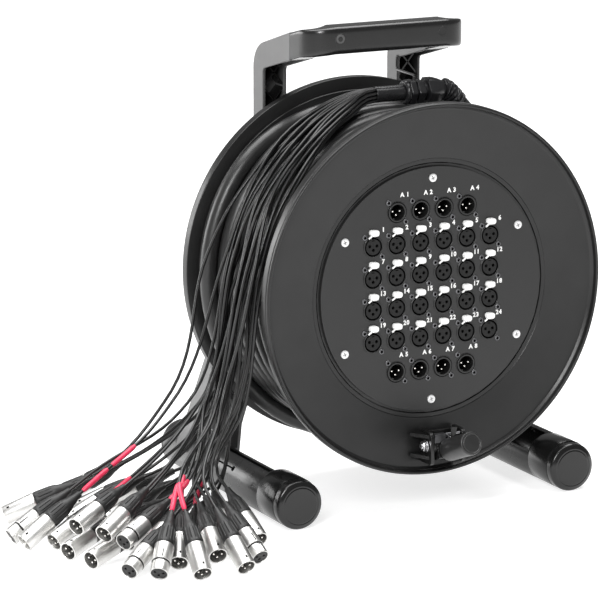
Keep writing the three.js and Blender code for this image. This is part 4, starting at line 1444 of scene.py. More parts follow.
@dataclass
class Panel:
    """The connector panel with its sockets, tabs, screws and printed numbers."""

    radius: float = 0.125
    depth: float = 0.003
    female_row_count: int = 4
    female_columns: int = 6
    male_columns: int = 4
    column_pitch: float = 0.0266
    row_pitch: float = 0.03255
    female_top: float = 0.0492
    male_top: float = 0.082
    male_bottom: float = 0.0815
    flange_radius: float = 0.01115
    cutout_radius: float = 0.0107
    cutout_points: int = 36
    rim_points: int = 256
    plate_edge: float = 0.00025
    groove_outer: float = 0.00965
    core_radius: float = 0.0081
    cup_depth: float = 0.0135
    hole_radius: float = 0.0018
    tab_width: float = 0.009
    tab_height: float = 0.006
    tab_rise: float = 0.0145
    tab_proud: float = 0.0048
    slot_room_across: float = 0.0016
    slot_room_up: float = 0.0012
    slot_corner: float = 0.0028
    screw_across: float = 0.00965
    screw_along: float = 0.0102
    screw_ring: float = 0.1137
    screw_turns: tuple = (90, 30, -30, -90, -150, 150)
    cross_reach: float = 0.0025
    cross_half: float = 0.00075
    cross_tilt: float = 24.0
    print_proud: float = 0.0001
    female_print: tuple = (0.0046, 0.0112, 0.0166)
    male_print: tuple = (0.0045, 0.0085, 0.0171)
    segments: int = 40

    def columns(self, count: int) -> list:
        """Across positions of a row's sockets."""
        return [(i - (count - 1) / 2) * self.column_pitch for i in range(count)]

    def female_rows(self) -> list:
        """Heights of the rows of female sockets."""
        return [self.female_top - row * self.row_pitch for row in range(self.female_row_count)]

    def female_places(self) -> list:
        """Places (x, z) of the female sockets, row by row."""
        return [(x, z) for z in self.female_rows() for x in self.columns(self.female_columns)]

    def male_places(self) -> list:
        """Places (x, z) of the male sockets, the top row first."""
        return [(x, z) for z in (self.male_top, -self.male_bottom) for x in self.columns(self.male_columns)]

    def plate(self) -> None:
        """The painted plate, with a hole for each socket and a slot for each tab."""
        edge = self.plate_edge
        wide, high = self.tab_width + self.slot_room_across, self.tab_height + self.slot_room_up
        holes = []
        for x, z in self.female_places():
            holes.append(circle(self.cutout_radius, self.cutout_points, x, z))
            holes.append(oblong(wide, high, self.slot_corner, x, z + self.tab_rise))
        holes += [circle(self.cutout_radius, self.cutout_points, x, z) for x, z in self.male_places()]
        plate = filled(circle(self.radius - edge, self.rim_points), holes, 0, self.depth, edge)
        piece("panel_plate", [(plate, PANEL_PAINT)], Body.DRUM, ("connector_panel",),
              sharp=15)

    def female_socket(self) -> list:
        """One female socket: rim, groove, core with three holes, and a disc of painted shade that closes them
        behind.

        Returns:
            Pairs of a shell and its finish.
        """
        F, G, C = self.flange_radius, self.groove_outer, self.core_radius
        corners = [[F, 0.0004], [F, -0.0006], [F - 0.0006, -0.0006], [F - 0.0006, -0.0008],
                   [G, -0.0008], [G, 0.006], [F - 0.0008, 0.006]]
        rim = turned(corners, [0, 0.0003, 0.0001, 0.0001, 0.0004, 0, 0], 3, self.segments, closed=True)
        # A disc of painted shade at the bottom of the groove, which also closes the core's holes behind.
        groove = disc(G + 0.0002, 0.0056, 0.0062, self.segments)
        holes = [circle(self.hole_radius, 14, x, z) for x, _, z in contact_places()]
        holes.append(circle(0.0005, 8, 0, CONTACT_RISE))
        holes.append(oblong(0.0034, 0.0012, 0.0004, 0, C - 0.0017))
        edge = 0.0002
        core = filled(circle(C - edge, self.segments), holes, -0.0003, 0.0058, edge)
        return [(rim, SOCKET_PLASTIC), (groove, PAINTED_SHADE), (core, SOCKET_CORE)]

    def male_socket(self) -> list:
        """One male socket: stepped rim, cup with a floor of painted shade, a ring of painted shade in the
        step, three bright pins and a key.

        Returns:
            Pairs of a shell and its finish.
        """
        F, C, deep = self.flange_radius, self.core_radius, self.cup_depth
        step, lip = F - 0.0006, F - 0.0013
        corners = [[F, 0.0004], [F, -0.0005], [step, -0.0005], [step, 0.0002], [lip, 0.0002],
                   [lip, -0.0009], [C, -0.0009], [C, deep], [C + 0.0008, deep], [C + 0.0008, 0.0004]]
        rim = turned(corners, [0, 0.0002, 0.0002, 0, 0, 0.0003, 0.0003, 0, 0, 0], 3, self.segments,
                     closed=True)
        # The step's groove ring and the cup's floor are painted shade.
        groove = band(lip, step, 0.0001, 0.00035, self.segments)
        floor = disc(C + 0.0004, deep - 0.0008, deep, self.segments)
        pins = copies(contact_pin(0.002, deep), contact_places())
        key = block((-0.0045, 0.0004, -0.0078), (-0.0029, 0.004, -0.0060))
        return [(rim, SOCKET_PLASTIC), (joined([floor, groove]), PAINTED_SHADE), (pins, CONTACT_METAL),
                (key, SOCKET_PLASTIC)]

    def rows(self) -> None:
        """Each row of sockets as one piece."""
        female, male = self.female_socket(), self.male_socket()
        rows = [(f"female_sockets_{row}", f"female_sockets_row_{row}", female, self.female_columns, z, 20.0)
                for row, z in enumerate(self.female_rows(), 1)]
        rows += [(f"male_sockets_row_{name}", f"male_sockets_{name}", male, self.male_columns, z, 32.0)
                 for name, z in (("top", self.male_top), ("bottom", -self.male_bottom))]
        for name, node, socket, count, z, sharp in rows:
            places = [(x, 0, z) for x in self.columns(count)]
            coats = [(copies(shell, places), finish) for shell, finish in socket]
            piece(name, coats, Body.DRUM, (node,), sharp=sharp)

    def tabs(self) -> None:
        """The release tabs, each on its own body."""
        proud = self.tab_proud
        outline = oblong(self.tab_width - 0.0006, self.tab_height - 0.0006, 0.0022)
        button = filled(outline, [], -proud, 0.005, 0.0003)
        leg = prism(np.array([[-0.0040, -0.0022], [-0.0030, -0.0032], [-0.0062, -0.0056],
                              [-0.0070, -0.0046]]), -0.0038, -0.0025)
        ridge = prism(oblong(0.0050, 0.0009, 0.0004), -proud - 0.00025, -proud + 0.0005)
        for number, (x, z) in enumerate(self.female_places(), 1):
            coats = [(moved(shell, x, 0, z + self.tab_rise), TAB_PLASTIC)
                     for shell in (button, leg, ridge)]
            piece(f"tab_{number}_button", coats, f"tab_{number}",
                  (f"release_tab_{number}",))

    def small_screws(self) -> None:
        """Two dark pan-head screws for each socket, with a disc of painted shade in each head's recess."""
        corners = [[0.0030, 0.0002], [0.0030, -0.0005], [0.0025, -0.0011], [0.0015, -0.0012],
                   [0.0013, -0.0003], [0, -0.0003]]
        head = turned(corners, [0, 0.0003, 0.0004, 0.0002, 0.0001, 0], 3, 20)
        # A disc of painted shade in the recess of each head.
        recess_shade = lathe(np.array([[0.00135, -0.0002], [0.00135, -0.00055], [0, -0.00055]]), 12)
        places = [(x + side * self.screw_across, 0, z - side * self.screw_along)
                  for x, z in self.female_places() + self.male_places() for side in (-1, 1)]
        piece("socket_screws", [(copies(head, places), BLACK_SCREW), (copies(recess_shade, places), PAINTED_SHADE)],
              Body.DRUM)

    def panel_screws(self) -> None:
        """Six bright cross-head screws round the panel, with a disc of painted shade under each cross recess.
        """
        arm, half = self.cross_reach, self.cross_half
        cross = np.array([[half, arm], [half, half], [arm, half], [arm, -half], [half, -half],
                          [half, -arm], [-half, -arm], [-half, -half], [-arm, -half], [-arm, half],
                          [-half, half], [-half, arm]])
        tilt = math.radians(self.cross_tilt)
        cross = cross @ np.array([[math.cos(tilt), math.sin(tilt)], [-math.sin(tilt), math.cos(tilt)]])
        head = filled(circle(0.00425 - 0.0005, 36), [cross], -0.0016, 0.0004, 0.0005)
        # A disc of painted shade under each cross recess.
        floor = lathe(np.array([[0.0030, -0.0004], [0.0030, -0.0007], [0, -0.0007]]), 18)
        places = [(self.screw_ring * math.cos(a), 0, self.screw_ring * math.sin(a))
                  for a in np.radians(self.screw_turns)]
        piece("panel_screws", [(copies(head, places), PLATED_STEEL), (copies(floor, places), PAINTED_SHADE)],
              Body.DRUM)

    def numbers(self) -> None:
        """The printed numbers beside the sockets."""
        female = [(str(n), x, z) for n, (x, z) in enumerate(self.female_places(), 1)]
        male = [(f"A {n}", x, z) for n, (x, z) in enumerate(self.male_places(), 1)]
        prints = [lettering(text, height, x + right, z + up, self.print_proud)
                  for group, (height, right, up) in ((female, self.female_print), (male, self.male_print))
                  for text, x, z in group]
        piece("panel_numbers", [(joined(prints), WHITE_PRINT)], Body.DRUM)

    def build(self) -> None:
        """Plate, sockets, tabs, screws and numbers."""
        self.plate()
        self.rows()
        self.tabs()
        self.small_screws()
        self.panel_screws()
        self.numbers()


@dataclass
class Frame:
    """The carrying frame: moulding, grip and feet."""

    arm_inner: float = 0.0645
    arm_outer: float = 0.092
    wall: float = 0.0035
    cut_height: float = 0.120
    front: float = 0.196
    back: float = 0.219
    elbow_height: float = 0.2225
    elbow_radius: float = 0.030
    elbow_steps: int = 8
    arm_top: float = 0.248
    arm_low: float = 0.219
    armpit_height: float = 0.202
    rib_thickness: float = 0.0016
    rib_pitch: float = 0.029
    rib_count: int = 3
    rib_start: float = 0.004
    rib_inset: float = 0.0022
    grip_seam: float = 0.134
    grip_across: float = 0.07825
    bar_depth: float = 0.1005
    bar_height: float = 0.245
    seam_height: float = 0.2335
    shoulder_run: float = 0.068
    shoulder_power: float = 1.8
    grip_width: float = 0.0272
    grip_height: float = 0.0284
    grip_bend: float = 0.021
    bend_steps: int = 14
    fall_points: int = 8
    seam_power: float = 12.0
    bar_power: float = 2.9
    foot_radius: float = 0.025
    foot_wall: float = 0.0035
    foot_across: float = 0.157
    foot_front: float = -0.008
    foot_rear: float = 0.255
    foot_drop: float = 0.201
    window_front: float = 0.032
    window_rear: float = 0.190
    window_outer: float = 0.166
    window_sill: float = 0.193
    slot_depth: float = 0.092
    slot_length: float = 0.034
    slot_half: float = 0.0009
    slot_cut: float = 0.016
    slot_sunk: float = 0.006
    hole_radius: float = 0.003
    hole_cut: float = 0.014
    hole_sunk: float = 0.008
    hole_points: int = 24
    overrun: float = 0.004
    hole_way: tuple = (0.83, 0.0, 0.55)
    cap_depth: float = 0.012
    rear_cap_depth: float = 0.007
    plug_across: float = 0.0585
    grip_rings: int = 72
    gap: float = 0.0003
    segments: int = 96

    def arm(self, side: int, name: str) -> None:
        """An upright that bends into its arm: an open channel with thin crossed ribs.

        Args:
            side: -1 for the left one, 1 for the right one.
            name: left or right.
        """
        W, low, seam, bend = self.wall, self.cut_height, self.grip_seam + self.gap, self.elbow_radius
        back, front, pit = self.back, self.front, self.armpit_height
        outline = rounded([[back, low], [back, self.elbow_height], [seam, self.arm_top],
                           [seam, self.arm_low], [front, pit], [front, low]],
                          [0, bend, 0, 0, 0.006, 0], self.elbow_steps, closed=True)
        pocket = rounded([[back - W, low - W], [back - W, self.elbow_height - W],
                          [seam + W, self.arm_top - W], [seam + W, self.arm_low - 3 * W],
                          [front - 3 * W, pit - 3 * W], [front - 3 * W, low - W]],
                         [0, bend - W, 0, 0, 0, 0], self.elbow_steps, closed=True)
        inner, outer = sorted((side * self.arm_inner, side * self.arm_outer))
        shell = carved(side_plate(outline, inner, outer), [side_plate(pocket, inner + W, outer - W)])
        # The channel takes the lighter frame tint, a painted sheen; its ribs keep the near-black cap tint.
        piece(f"arm_{name}", [(shell, FRAME_PLASTIC_PAINTED_SHEEN)], Body.FRAME, edge=0.0012,
              edge_steps=3)
        ribs = self.ribs(inner + W / 2, outer - W / 2)
        piece(f"arm_ribs_{name}", [(ribs, CAP_PLASTIC)], Body.FRAME)

    def ribs(self, inner: float, outer: float) -> Shell:
        """Crossed ribs in the channel of an upright.

        Args:
            inner: x of one wall.
            outer: x of the other wall.

        Returns:
            Points and faces.
        """
        near, far = self.front + self.rib_inset, self.back - self.wall / 2
        half = self.rib_thickness / 2
        strips = []
        for k in range(self.rib_count):
            low = self.cut_height + self.rib_start + k * self.rib_pitch
            for x0, x1 in ((inner, outer), (outer, inner)):
                way = unit(np.array([x1 - x0, self.rib_pitch]))
                off = np.array([-way[1], way[0]]) * half
                a, b = np.array([x0, low]), np.array([x1, low + self.rib_pitch])
                strips.append(prism(np.array([a - off, b - off, b + off, a + off]), near, far))
        return joined(strips)

    def grip(self) -> None:
        """The grip: a rounded bar that bends at both corners and falls back to the arms.

        Its section lies across the path: p + u side + v up, with u = w sgn(cos a) |cos a|^(2/n) and
        v = h sgn(sin a) |sin a|^(2/n), whose power n falls from the seam to the bar.
        """
        x, y, bend = self.grip_across, self.bar_depth, self.grip_bend
        fall = np.linspace(self.grip_seam, y + bend + self.grip_width / 3, self.fall_points)[:-1]
        left = np.column_stack([np.full(len(fall), -x), fall])
        bends = rounded([left[-1], [-x, y], [x, y], [x, fall[-1]]], bend + self.grip_width / 4,
                        self.bend_steps)
        plan = np.concatenate([left[:-1], bends, left[-2::-1] * [-1, 1]])
        run = run_along(plan)
        from_seam = np.minimum(run, run[-1] - run)
        share = np.clip(1 - from_seam / self.shoulder_run, 0, 1)
        height = self.bar_height + (self.seam_height - self.bar_height) * share**self.shoulder_power
        ahead = unit(np.gradient(plan, axis=0))
        side = np.column_stack([ahead[:, 1], -ahead[:, 0]])
        ease = smoothstep(share, 0.0, 1.0)[:, None]
        power = 2 / (self.bar_power + (self.seam_power - self.bar_power) * ease)
        angle = np.linspace(0, TURN, self.grip_rings, endpoint=False)[None]
        u = self.grip_width / 2 * np.sign(np.cos(angle)) * np.abs(np.cos(angle))**power
        v = self.grip_height / 2 * np.sign(np.sin(angle)) * np.abs(np.sin(angle))**power
        px = plan[:, :1] + side[:, :1] * u
        py = plan[:, 1:] + side[:, 1:] * u
        pz = height[:, None] + v
        bar = ring_shell(np.stack([px, py, pz], -1))
        piece("grip_bar", [(bar, GRIP_PLASTIC)], Body.FRAME, ("handle_grip",), sharp=50)
        front = y - self.grip_width / 2
        corners = [[0, 0.0004], [0.0046, -0.0003], [0.0050, 0.0006], [0.0054, 0.0006],
                   [0.0057, -0.0002], [0.0060, 0.0004], [0, 0.0010]]
        plug = turned(corners, [0, 0.0004, 0.0001, 0.0001, 0.0002, 0, 0], 3, 32)
        # The left plug takes the lighter frame tint and the right one the near-black cap tint: painted light
        # on the left plug and painted shade on the right, on two like plugs.
        coats = [(moved(plug, side * self.plug_across, front, self.bar_height), finish)
                 for side, finish in ((-1, FRAME_PLASTIC_PAINTED_SHEEN), (1, CAP_PLASTIC))]
        piece("grip_plugs", coats, Body.FRAME)

    def foot(self, side: int, name: str) -> None:
        """One foot: an open tube with a long window, a slot with a hole, a collar and two caps.

        Args:
            side: -1 for the left one, 1 for the right one.
            name: left or right.
        """
        R, W, front, rear = self.foot_radius, self.foot_wall, self.foot_front, self.foot_rear
        x, z = side * self.foot_across, -self.foot_drop
        wall = [[R, front], [R, rear], [R - W, rear], [R - W, front]]
        pipe = moved(turned(wall, 0.0006, 2, self.segments, closed=True), x, 0, z)
        inner, outer = sorted((side * (self.foot_across - R - self.overrun), side * self.window_outer))
        opening = block((inner, self.window_front, -self.window_sill),
                        (outer, self.window_rear, z + R + self.overrun))
        way = unit(self.hole_way * np.array([side, 1, 1]))
        start = np.array([x, self.slot_depth, z])
        hole = disc(self.hole_radius, 0, self.hole_cut, self.hole_points)
        hole = aimed(hole, way, start + way * (R - self.hole_sunk))
        across = np.cross(way, [0.0, 1.0, 0.0])
        base = start + way * (R - self.slot_sunk)
        half, long = self.slot_half, self.slot_length
        corners = [base + across * a + np.array([0, b, 0]) + way * c for c in (0, self.slot_cut)
                   for a, b in ((-half, 0), (half, 0), (half, long), (-half, long))]
        slot = ring_shell(np.array(corners).reshape(2, 4, 3))
        piece(f"foot_pipe_{name}", [(carved(pipe, [opening, hole, slot]), FOOT_PLASTIC)], Body.FRAME,
              (f"foot_tube_{name}",), sharp=30)
        collar = band(R - 0.0004, R + 0.0005, front + 0.0006, self.window_front - 0.003,
                      self.segments, 0.0004, 2)
        piece(f"foot_collar_{name}", [(moved(collar, x, 0, z + 0.0005), COLLAR_PLASTIC)], Body.FRAME)
        self.caps(x, z, name)

    def caps(self, x: float, z: float, name: str) -> None:
        """The domed front cap with its ring groove, and the flatter rear cap.

        Args:
            x: the foot's place across.
            z: the foot's height.
            name: left or right.
        """
        R = self.foot_radius
        back = self.foot_front - self.gap
        front = back - self.cap_depth
        near = self.foot_rear + self.gap
        far = near + self.rear_cap_depth
        dome = [[0, front], [R - 0.0072, front + 0.0006], [R - 0.0062, front + 0.0012],
                [R - 0.0050, front + 0.0008], [R, front + 0.0034], [R, back], [R - 0.004, back],
                [R - 0.004, back + 0.008], [0, back + 0.008]]
        stop = [[0, far], [R - 0.006, far - 0.0004], [R, far - 0.003], [R, near], [R - 0.004, near],
                [R - 0.004, near - 0.008], [0, near - 0.008]]
        for label, node, corners, radii, steps in (
                ("cap", "front", dome, [0, 0.002, 0.0008, 0.002, 0.0034, 0.0006, 0, 0, 0], 6),
                ("stop", "rear", stop, [0, 0.003, 0.003, 0.0006, 0, 0, 0], 5)):
            shell = moved(turned(corners, radii, steps, self.segments), x, 0, z)
            piece(f"foot_{label}_{name}", [(shell, CAP_PLASTIC)], Body.FRAME,
                  (f"foot_cap_{node}_{name}",), sharp=40)

    def axle(self) -> None:
        """The axle with its headed end behind the frame."""
        corners = [[0, 0.2226], [0.008, 0.2226], [0.0082, 0.2190], [0.010, 0.2233], [0.0235, 0.2233],
                   [0.026, 0.2215], [0.026, 0.2193], [0.015, 0.2193], [0.015, 0.1092], [0, 0.1092]]
        pin = turned(corners, [0, 0.0004, 0.0004, 0.001, 0.002, 0.0008, 0, 0, 0.0008, 0], 4, 64)
        piece("axle_pin", [(pin, BRIGHT_STEEL)], Body.FRAME, ("axle",))
        worn_node("axle_nut", BRIGHT_STEEL)

    def build(self) -> None:
        """Moulding, arms, grip, feet and axle."""
        reach = 1.0
        above = block((-reach, -reach, self.cut_height), (reach, reach, reach))
        shell = carved(node_shell("frame_moulding"), [above])
        # The legs take the lighter frame tint, a painted sheen.
        piece("frame_legs", [(shell, FRAME_PLASTIC_PAINTED_SHEEN)], Body.FRAME,
              ("frame_moulding",), edge=0.0010)
        sides = ((-1, "left"), (1, "right"))
        for side, name in sides:
            self.arm(side, name)
        self.grip()
        for side, name in sides:
            self.foot(side, name)
        self.axle()


@dataclass
class Gland:
    """Sleeve, gland, dome nut, bend relief and the lead on the winding, with the wire that parks them."""

    gap: float = 0.0003
    sleeve_radius: float = 0.0082
    sleeve_from: float = -0.016
    sleeve_to: float = 0.0167
    flat: float = 0.012
    body_from: float = 0.017
    body_to: float = 0.042
    dome_from: float = 0.0423
    dome_to: float = 0.0633
    dome_tip: float = 0.0086
    handle: float = 0.008
    relief_share: float = 0.52
    relief_ribs: int = 5
    relief_rings: int = 97
    relief_points: int = 40
    lead_start: float = 0.01
    lead_rings: int = 10
    relief_root: float = 0.0092
    relief_tip: float = 0.0076
    rib_height: float = 0.0024
    rib_rise: tuple = (-0.55, 0.35)
    wire_radius: float = 0.0014
    wire_bend: float = 0.003
    wire_steps: int = 6
    wire_points: int = 14
    segments: int = 96
    round_segments: int = 64

    def hex_part(self, stations: list) -> Shell:
        """A hexagonal rod along the gland."""
        return moved(hex_rod(stations, self.segments), 0, GLAND_DEPTH, GLAND_HEIGHT)

    def round_part(self, corners: list, radius: float | list, steps: int) -> Shell:
        """A turned part along the gland, from rows of radius and x."""
        shell = sideways(turned(corners, radius, steps, self.round_segments))
        return moved(shell, 0, GLAND_DEPTH, GLAND_HEIGHT)

    def sleeve(self) -> None:
        """The smooth sleeve over the root of the tails, open at its mouth."""
        R, a, b = self.sleeve_radius, self.sleeve_from, self.sleeve_to
        corners = [[0, a + 0.003], [R - 0.0011, a + 0.003], [R - 0.0011, a], [R + 0.0001, a],
                   [R - 0.0002, a + 0.012], [R, b], [0, b]]
        shell = self.round_part(corners, [0, 0.0002, 0.0004, 0.0006, 0.004, 0.0006, 0], 4)
        piece("tail_root_sleeve", [(shell, SLEEVE_RUBBER)], Body.FRAME,
              ("tail_sleeve",))

    def body(self) -> None:
        """The gland's body: thick seal ring, hexagonal flange, neck and lock nut."""
        a, b, F = self.body_from, self.body_to, self.flat
        ring = self.round_part([[0, a], [0.0112, a], [0.0131, a + 0.0024], [0.0112, a + 0.0052],
                                [0, a + 0.0052]], [0, 0.0022, 0.0030, 0.0022, 0], 5)
        flange = self.hex_part([(a + 0.0048, F - 0.0006, F + 0.0004), (a + 0.0056, F, F + 0.0016),
                                (a + 0.0108, F, F + 0.0016), (a + 0.0116, F - 0.0006, F + 0.0004)])
        neck = self.round_part([[0, a + 0.0110], [0.0094, a + 0.0110], [0.0094, b], [0, b]], 0, 1)
        nut = self.hex_part([(a + 0.0138, F - 0.0012, F - 0.0002), (a + 0.0148, F - 0.0006, F + 0.0010),
                             (b - 0.0042, F - 0.0006, F + 0.0010), (b - 0.0034, F - 0.0014, F - 0.0004)])
        coats = [(ring, SLEEVE_RUBBER), *[(shell, GLAND_PLASTIC) for shell in (flange, neck, nut)]]
        piece("gland_shank", coats, Body.FRAME, ("gland_body",))

    def dome(self) -> None:
        """The dome nut: a hexagonal collar that tapers to a round mouth."""
        a, b, F, tip = self.dome_from, self.dome_to, self.flat + 0.001, self.dome_tip
        shell = self.hex_part([(a, F - 0.0008, F + 0.0002), (a + 0.0008, F, F + 0.0014),
                               (a + 0.0090, F, F + 0.0014), (a + 0.0120, F - 0.0006, F + 0.0002),
                               (b - 0.0010, tip + 0.0006, tip + 0.0010), (b, tip, tip + 0.0002)])
        piece("gland_dome", [(shell, GLAND_PLASTIC)], Body.FRAME, ("gland_dome_nut",))

    def exit_line(self, ride_radius: float, low: float, high: float, count: int) -> np.ndarray:
        """Part of the cubic that leaves the dome level and meets the winding at the join angle.

        Args:
            ride_radius: radius at which the lead rides on the winding.
            low: where on the cubic the part starts, from 0 at the dome.
            high: where it ends, to 1 on the winding.
            count: number of points.

        Returns:
            Points of the line, one row each.
        """
        join = math.radians(LEAD_JOIN)
        mouth = np.array([self.dome_to + self.gap, GLAND_DEPTH, GLAND_HEIGHT])
        touch = np.array([ride_radius * math.sin(join), GLAND_DEPTH, ride_radius * math.cos(join)])
        level = mouth + [self.handle, 0, 0]
        back = touch + np.array([-math.cos(join), 0, math.sin(join)]) * self.handle
        t = np.linspace(low, high, count)[:, None]
        return ((1 - t)**3 * mouth + 3 * (1 - t)**2 * t * level + 3 * (1 - t) * t**2 * back
                + t**3 * touch)

    def relief(self, ride_radius: float) -> None:
        """The ribbed bend relief: a tapering tube whose radius swells once a rib.

        Args:
            ride_radius: radius at which the lead rides on the winding.
        """
        line = self.exit_line(ride_radius, 0, self.relief_share, self.relief_rings)
        share = np.linspace(0, 1, len(line))
        base = self.relief_root + (self.relief_tip - self.relief_root) * share
        wave = np.cos(TURN * self.relief_ribs * (share - 0.5 / self.relief_ribs))
        radius = base + self.rib_height * smoothstep(wave, *self.rib_rise)
        piece("bend_relief_ribs", [(wound(line, radius, self.relief_points), SLEEVE_RUBBER)], Body.FRAME,
              ("bend_relief",), sharp=60)

    def lead(self, drum: Drum) -> None:
        """The cable from the relief over the winding and down into the free channel.

        Args:
            drum: the drum that it lies on.
        """
        low = self.relief_share + self.lead_start
        start = self.exit_line(drum.ride_radius, low, 1, self.lead_rings)
        line = np.concatenate([start[:-1], drum.lead_line()])
        cable = wound(line, drum.cable_radius, drum.turn_points)
        piece("lead_on_winding", [(cable, CABLE_JACKET)], Body.FRAME, ("cable_lead",),
              sharp=60)

    def bail(self) -> None:
        """The bent wire from the gland's flat to the right upright."""
        points = [[0.030, GLAND_DEPTH, 0.1963], [0.030, GLAND_DEPTH, 0.2005], [0.0625, 0.193, 0.1905],
                  [0.0625, 0.193, 0.2035], [0.070, 0.2015, 0.2045]]
        line = rounded(points, self.wire_bend, self.wire_steps)
        wire = tube(line, self.wire_radius, self.wire_points, (1, 0, 0))
        piece("parking_wire", [(wire, BLACK_WIRE)], Body.FRAME, ("gland_bail",),
              sharp=60)

    def build(self, drum: Drum) -> None:
        """Every part of the gland and the lead.

        Args:
            drum: the drum that the lead lies on.
        """
        self.sleeve()
        self.body()
        self.dome()
        self.relief(drum.ride_radius)
        self.lead(drum)
        self.bail()


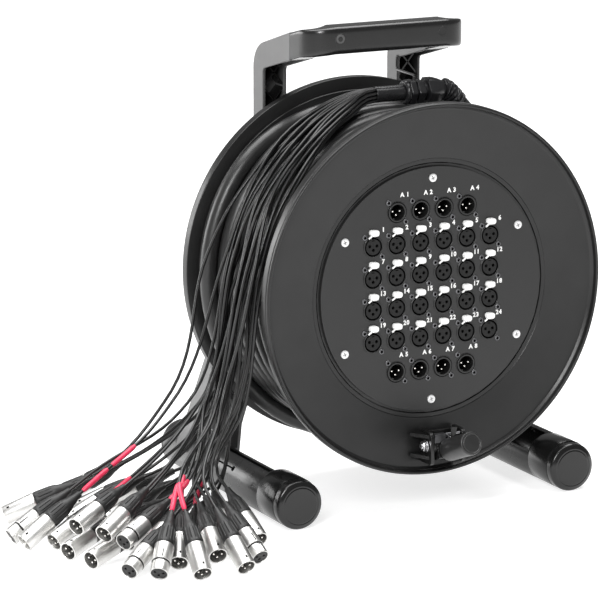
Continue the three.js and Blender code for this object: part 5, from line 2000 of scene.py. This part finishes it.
@dataclass
class Crank:
    """The folding crank: bracket, bolt, lock lever, arm and spinning knob."""

    centre: float = 0.006
    cheek: float = 0.004
    spacing: float = 0.032
    front: float = -0.027
    top: float = -0.142
    bottom: float = -0.176
    base_back: float = -0.0031
    base_depth: float = 0.003
    gusset_reach: float = 0.016
    pivot_depth: float = -0.017
    pivot_height: float = -0.157
    bolt_radius: float = 0.003
    rest_angle: float = 21.0
    arm_radius: float = 0.008
    offset: float = 0.0075
    knob_radius: float = 0.012
    knob_length: float = 0.050
    gusset_heights: tuple = (-0.147, -0.1685)
    gusset_half: float = 0.0020
    clearance: float = 0.0006
    gap: float = 0.0003

    def lifted(self, shell: Shell) -> Shell:
        """Turns a shell that points straight out along -Y up by the rest angle, about the bolt."""
        turn = np.array(Matrix.Rotation(-math.radians(self.rest_angle), 3, "X"))
        return shell[0] @ turn.T + np.array([0, self.pivot_depth, self.pivot_height]), shell[1]

    def cross_part(self, shell: Shell) -> Shell:
        """A turned part laid along X through the pivot."""
        return moved(sideways(shell), 0, self.pivot_depth, self.pivot_height)

    def bracket(self) -> None:
        """Base plate, two cheeks and two gussets."""
        half, back = self.spacing / 2, self.base_back
        left, right = self.centre - half, self.centre + half
        shells = [block((left - 0.004, back - self.base_depth, self.bottom),
                        (right + self.cheek, back, self.top - 0.003))]
        outline = rounded([[back - 0.001, self.bottom], [self.front, self.bottom],
                           [self.front, self.top], [back - 0.001, self.top]],
                          [0, 0.004, 0.007, 0], 5, closed=True)
        shells += [side_plate(outline, x, x + self.cheek) for x in (left - self.cheek, right)]
        gusset = np.array([[left - self.gusset_reach, back - 0.0008], [left - 0.002, back - 0.0008],
                           [left - 0.002, self.front + 0.0012]])
        for z in self.gusset_heights:
            points, faces = prism(gusset, z - self.gusset_half, z + self.gusset_half)
            shells.append((points[:, [0, 2, 1]], faces))
        piece("crank_bracket_plate", [(joined(shells), BRACKET_PLASTIC)], Body.DRUM,
              ("crank_bracket",), edge=0.0006)

    def bolt(self) -> None:
        """The pivot bolt with its washer and nut between the gussets, and its round head."""
        half, R = self.spacing / 2, self.bolt_radius
        left = self.centre - half - self.cheek - self.gap
        right = self.centre + half + self.cheek + self.gap
        shank = turned([[0, left - 0.0065], [R, left - 0.0065], [R, right], [0.0055, right],
                        [0.0052, right + 0.0035], [0, right + 0.0048]],
                       [0, 0.0006, 0, 0.0003, 0.0016, 0], 4, 32)
        washer = turned([[0, left - 0.0012], [0.0064, left - 0.0012], [0.0064, left], [0, left]],
                        [0, 0.0003, 0.0003, 0], 3, 32)
        nut = hex_rod([(left - 0.0048, 0.0044, 0.0047), (left - 0.0042, 0.0048, 0.0055),
                       (left - 0.0018, 0.0048, 0.0055), (left - 0.0012, 0.0044, 0.0047)], 48)
        shells = [self.cross_part(shank), self.cross_part(washer),
                  moved(nut, 0, self.pivot_depth, self.pivot_height)]
        piece("crank_pivot_bolt", [(shell, BRIGHT_STEEL) for shell in shells], Body.DRUM,
              ("crank_bolt",))

    def lever(self) -> None:
        """The lock lever: a bent plate on a bright pin between the cheeks, with a tongue."""
        half, front = self.spacing / 2 - self.clearance, self.front
        low, high = self.centre - half, self.centre + half
        plate = block((low, front + 0.0006, -0.1530), (low + 0.0125, front + 0.0016, -0.1440))
        hook = block((low, front + 0.0006, -0.1455), (low + 0.0125, front + 0.0062, -0.1440))
        tongue = prism(np.array([[0.0080, -0.1495], [0.0140, -0.1455], [0.0155, -0.1385],
                                 [0.0085, -0.1375]]), front - 0.0006, front + 0.0004)
        pin = turned([[0, front - 0.0022], [0.0014, front - 0.0020], [0.0014, front + 0.006],
                      [0, front + 0.006]], [0, 0.0008, 0, 0], 3, 16)
        bar = moved(self.cross_part(disc(0.0015, low, high, 16)), 0, -0.0050, 0.0110)
        piece("crank_lock_lever", [(plate, LEVER_STEEL), (hook, LEVER_STEEL), (tongue, DRUM_PLASTIC),
                                   (moved(pin, 0.0074, 0, -0.1486), BRIGHT_STEEL), (bar, LEVER_STEEL)],
              Body.CRANK, edge=0.0003)

    def arm(self) -> None:
        """The arm: an eye on the bolt, a block beside it and the pin that carries the knob."""
        R, C = self.arm_radius, self.centre
        half = self.spacing / 2 - self.clearance
        eye = sideways(band(0.0033, R, C - half, C + half, 48, [0, 0.0008, 0.0008, 0]))
        low = -self.offset - R
        outline = rounded([[-R, low], [0.0076, low], [0.0076, -0.0040], [-R, -0.0006]], 0.0015, 4,
                          closed=True)
        root = side_plate(outline, C - self.knob_radius, C - 0.0036)
        other = side_plate(outline, C + 0.0036, C + self.knob_radius)
        web = side_plate(outline + [0, -0.0004], C - 0.0037, C + 0.0037)
        pin = moved(disc(0.004, -R - self.knob_length + 0.005, -0.004, 32), C, 0, -self.offset)
        coats = [(self.lifted(shell), GRIP_PLASTIC) for shell in (eye, root, other, web, pin)]
        piece("crank_arm_root", coats, Body.CRANK, ("crank_arm",), edge=0.0004)

    def knob(self) -> None:
        """The spinning knob: a plain barrel with a beaded end."""
        R = self.knob_radius
        root = -self.arm_radius - self.gap
        tip = root - self.knob_length
        corners = [[0, tip + 0.0002], [R - 0.0034, tip + 0.0002], [R - 0.0028, tip + 0.0008],
                   [R - 0.0020, tip], [R - 0.0002, tip + 0.0006], [R, tip + 0.003],
                   [R - 0.0003, tip + 0.020], [R, root - 0.003], [R - 0.002, root], [0.0043, root],
                   [0.0043, root - 0.008], [0, root - 0.008]]
        radii = [0, 0.0006, 0.0003, 0.0006, 0.0012, 0.001, 0.01, 0.002, 0.001, 0, 0, 0]
        shell = moved(turned(corners, radii, 4, 64), self.centre, 0, -self.offset)
        piece("crank_knob_barrel", [(self.lifted(shell), KNOB_RUBBER)], Body.KNOB,
              ("crank_grip",))

    def build(self) -> None:
        """Every part of the crank."""
        self.bracket()
        self.bolt()
        self.lever()
        self.arm()
        self.knob()


def main() -> None:
    """Builds the studio, the cords and every other part of the object."""
    logging.basicConfig(level=logging.INFO)
    Studio().build()
    TailFan().build()
    drum = Drum()
    drum.build()
    Panel().build()
    Frame().build()
    Gland().build(drum)
    Crank().build()


if __name__ == "__main__":
    main()
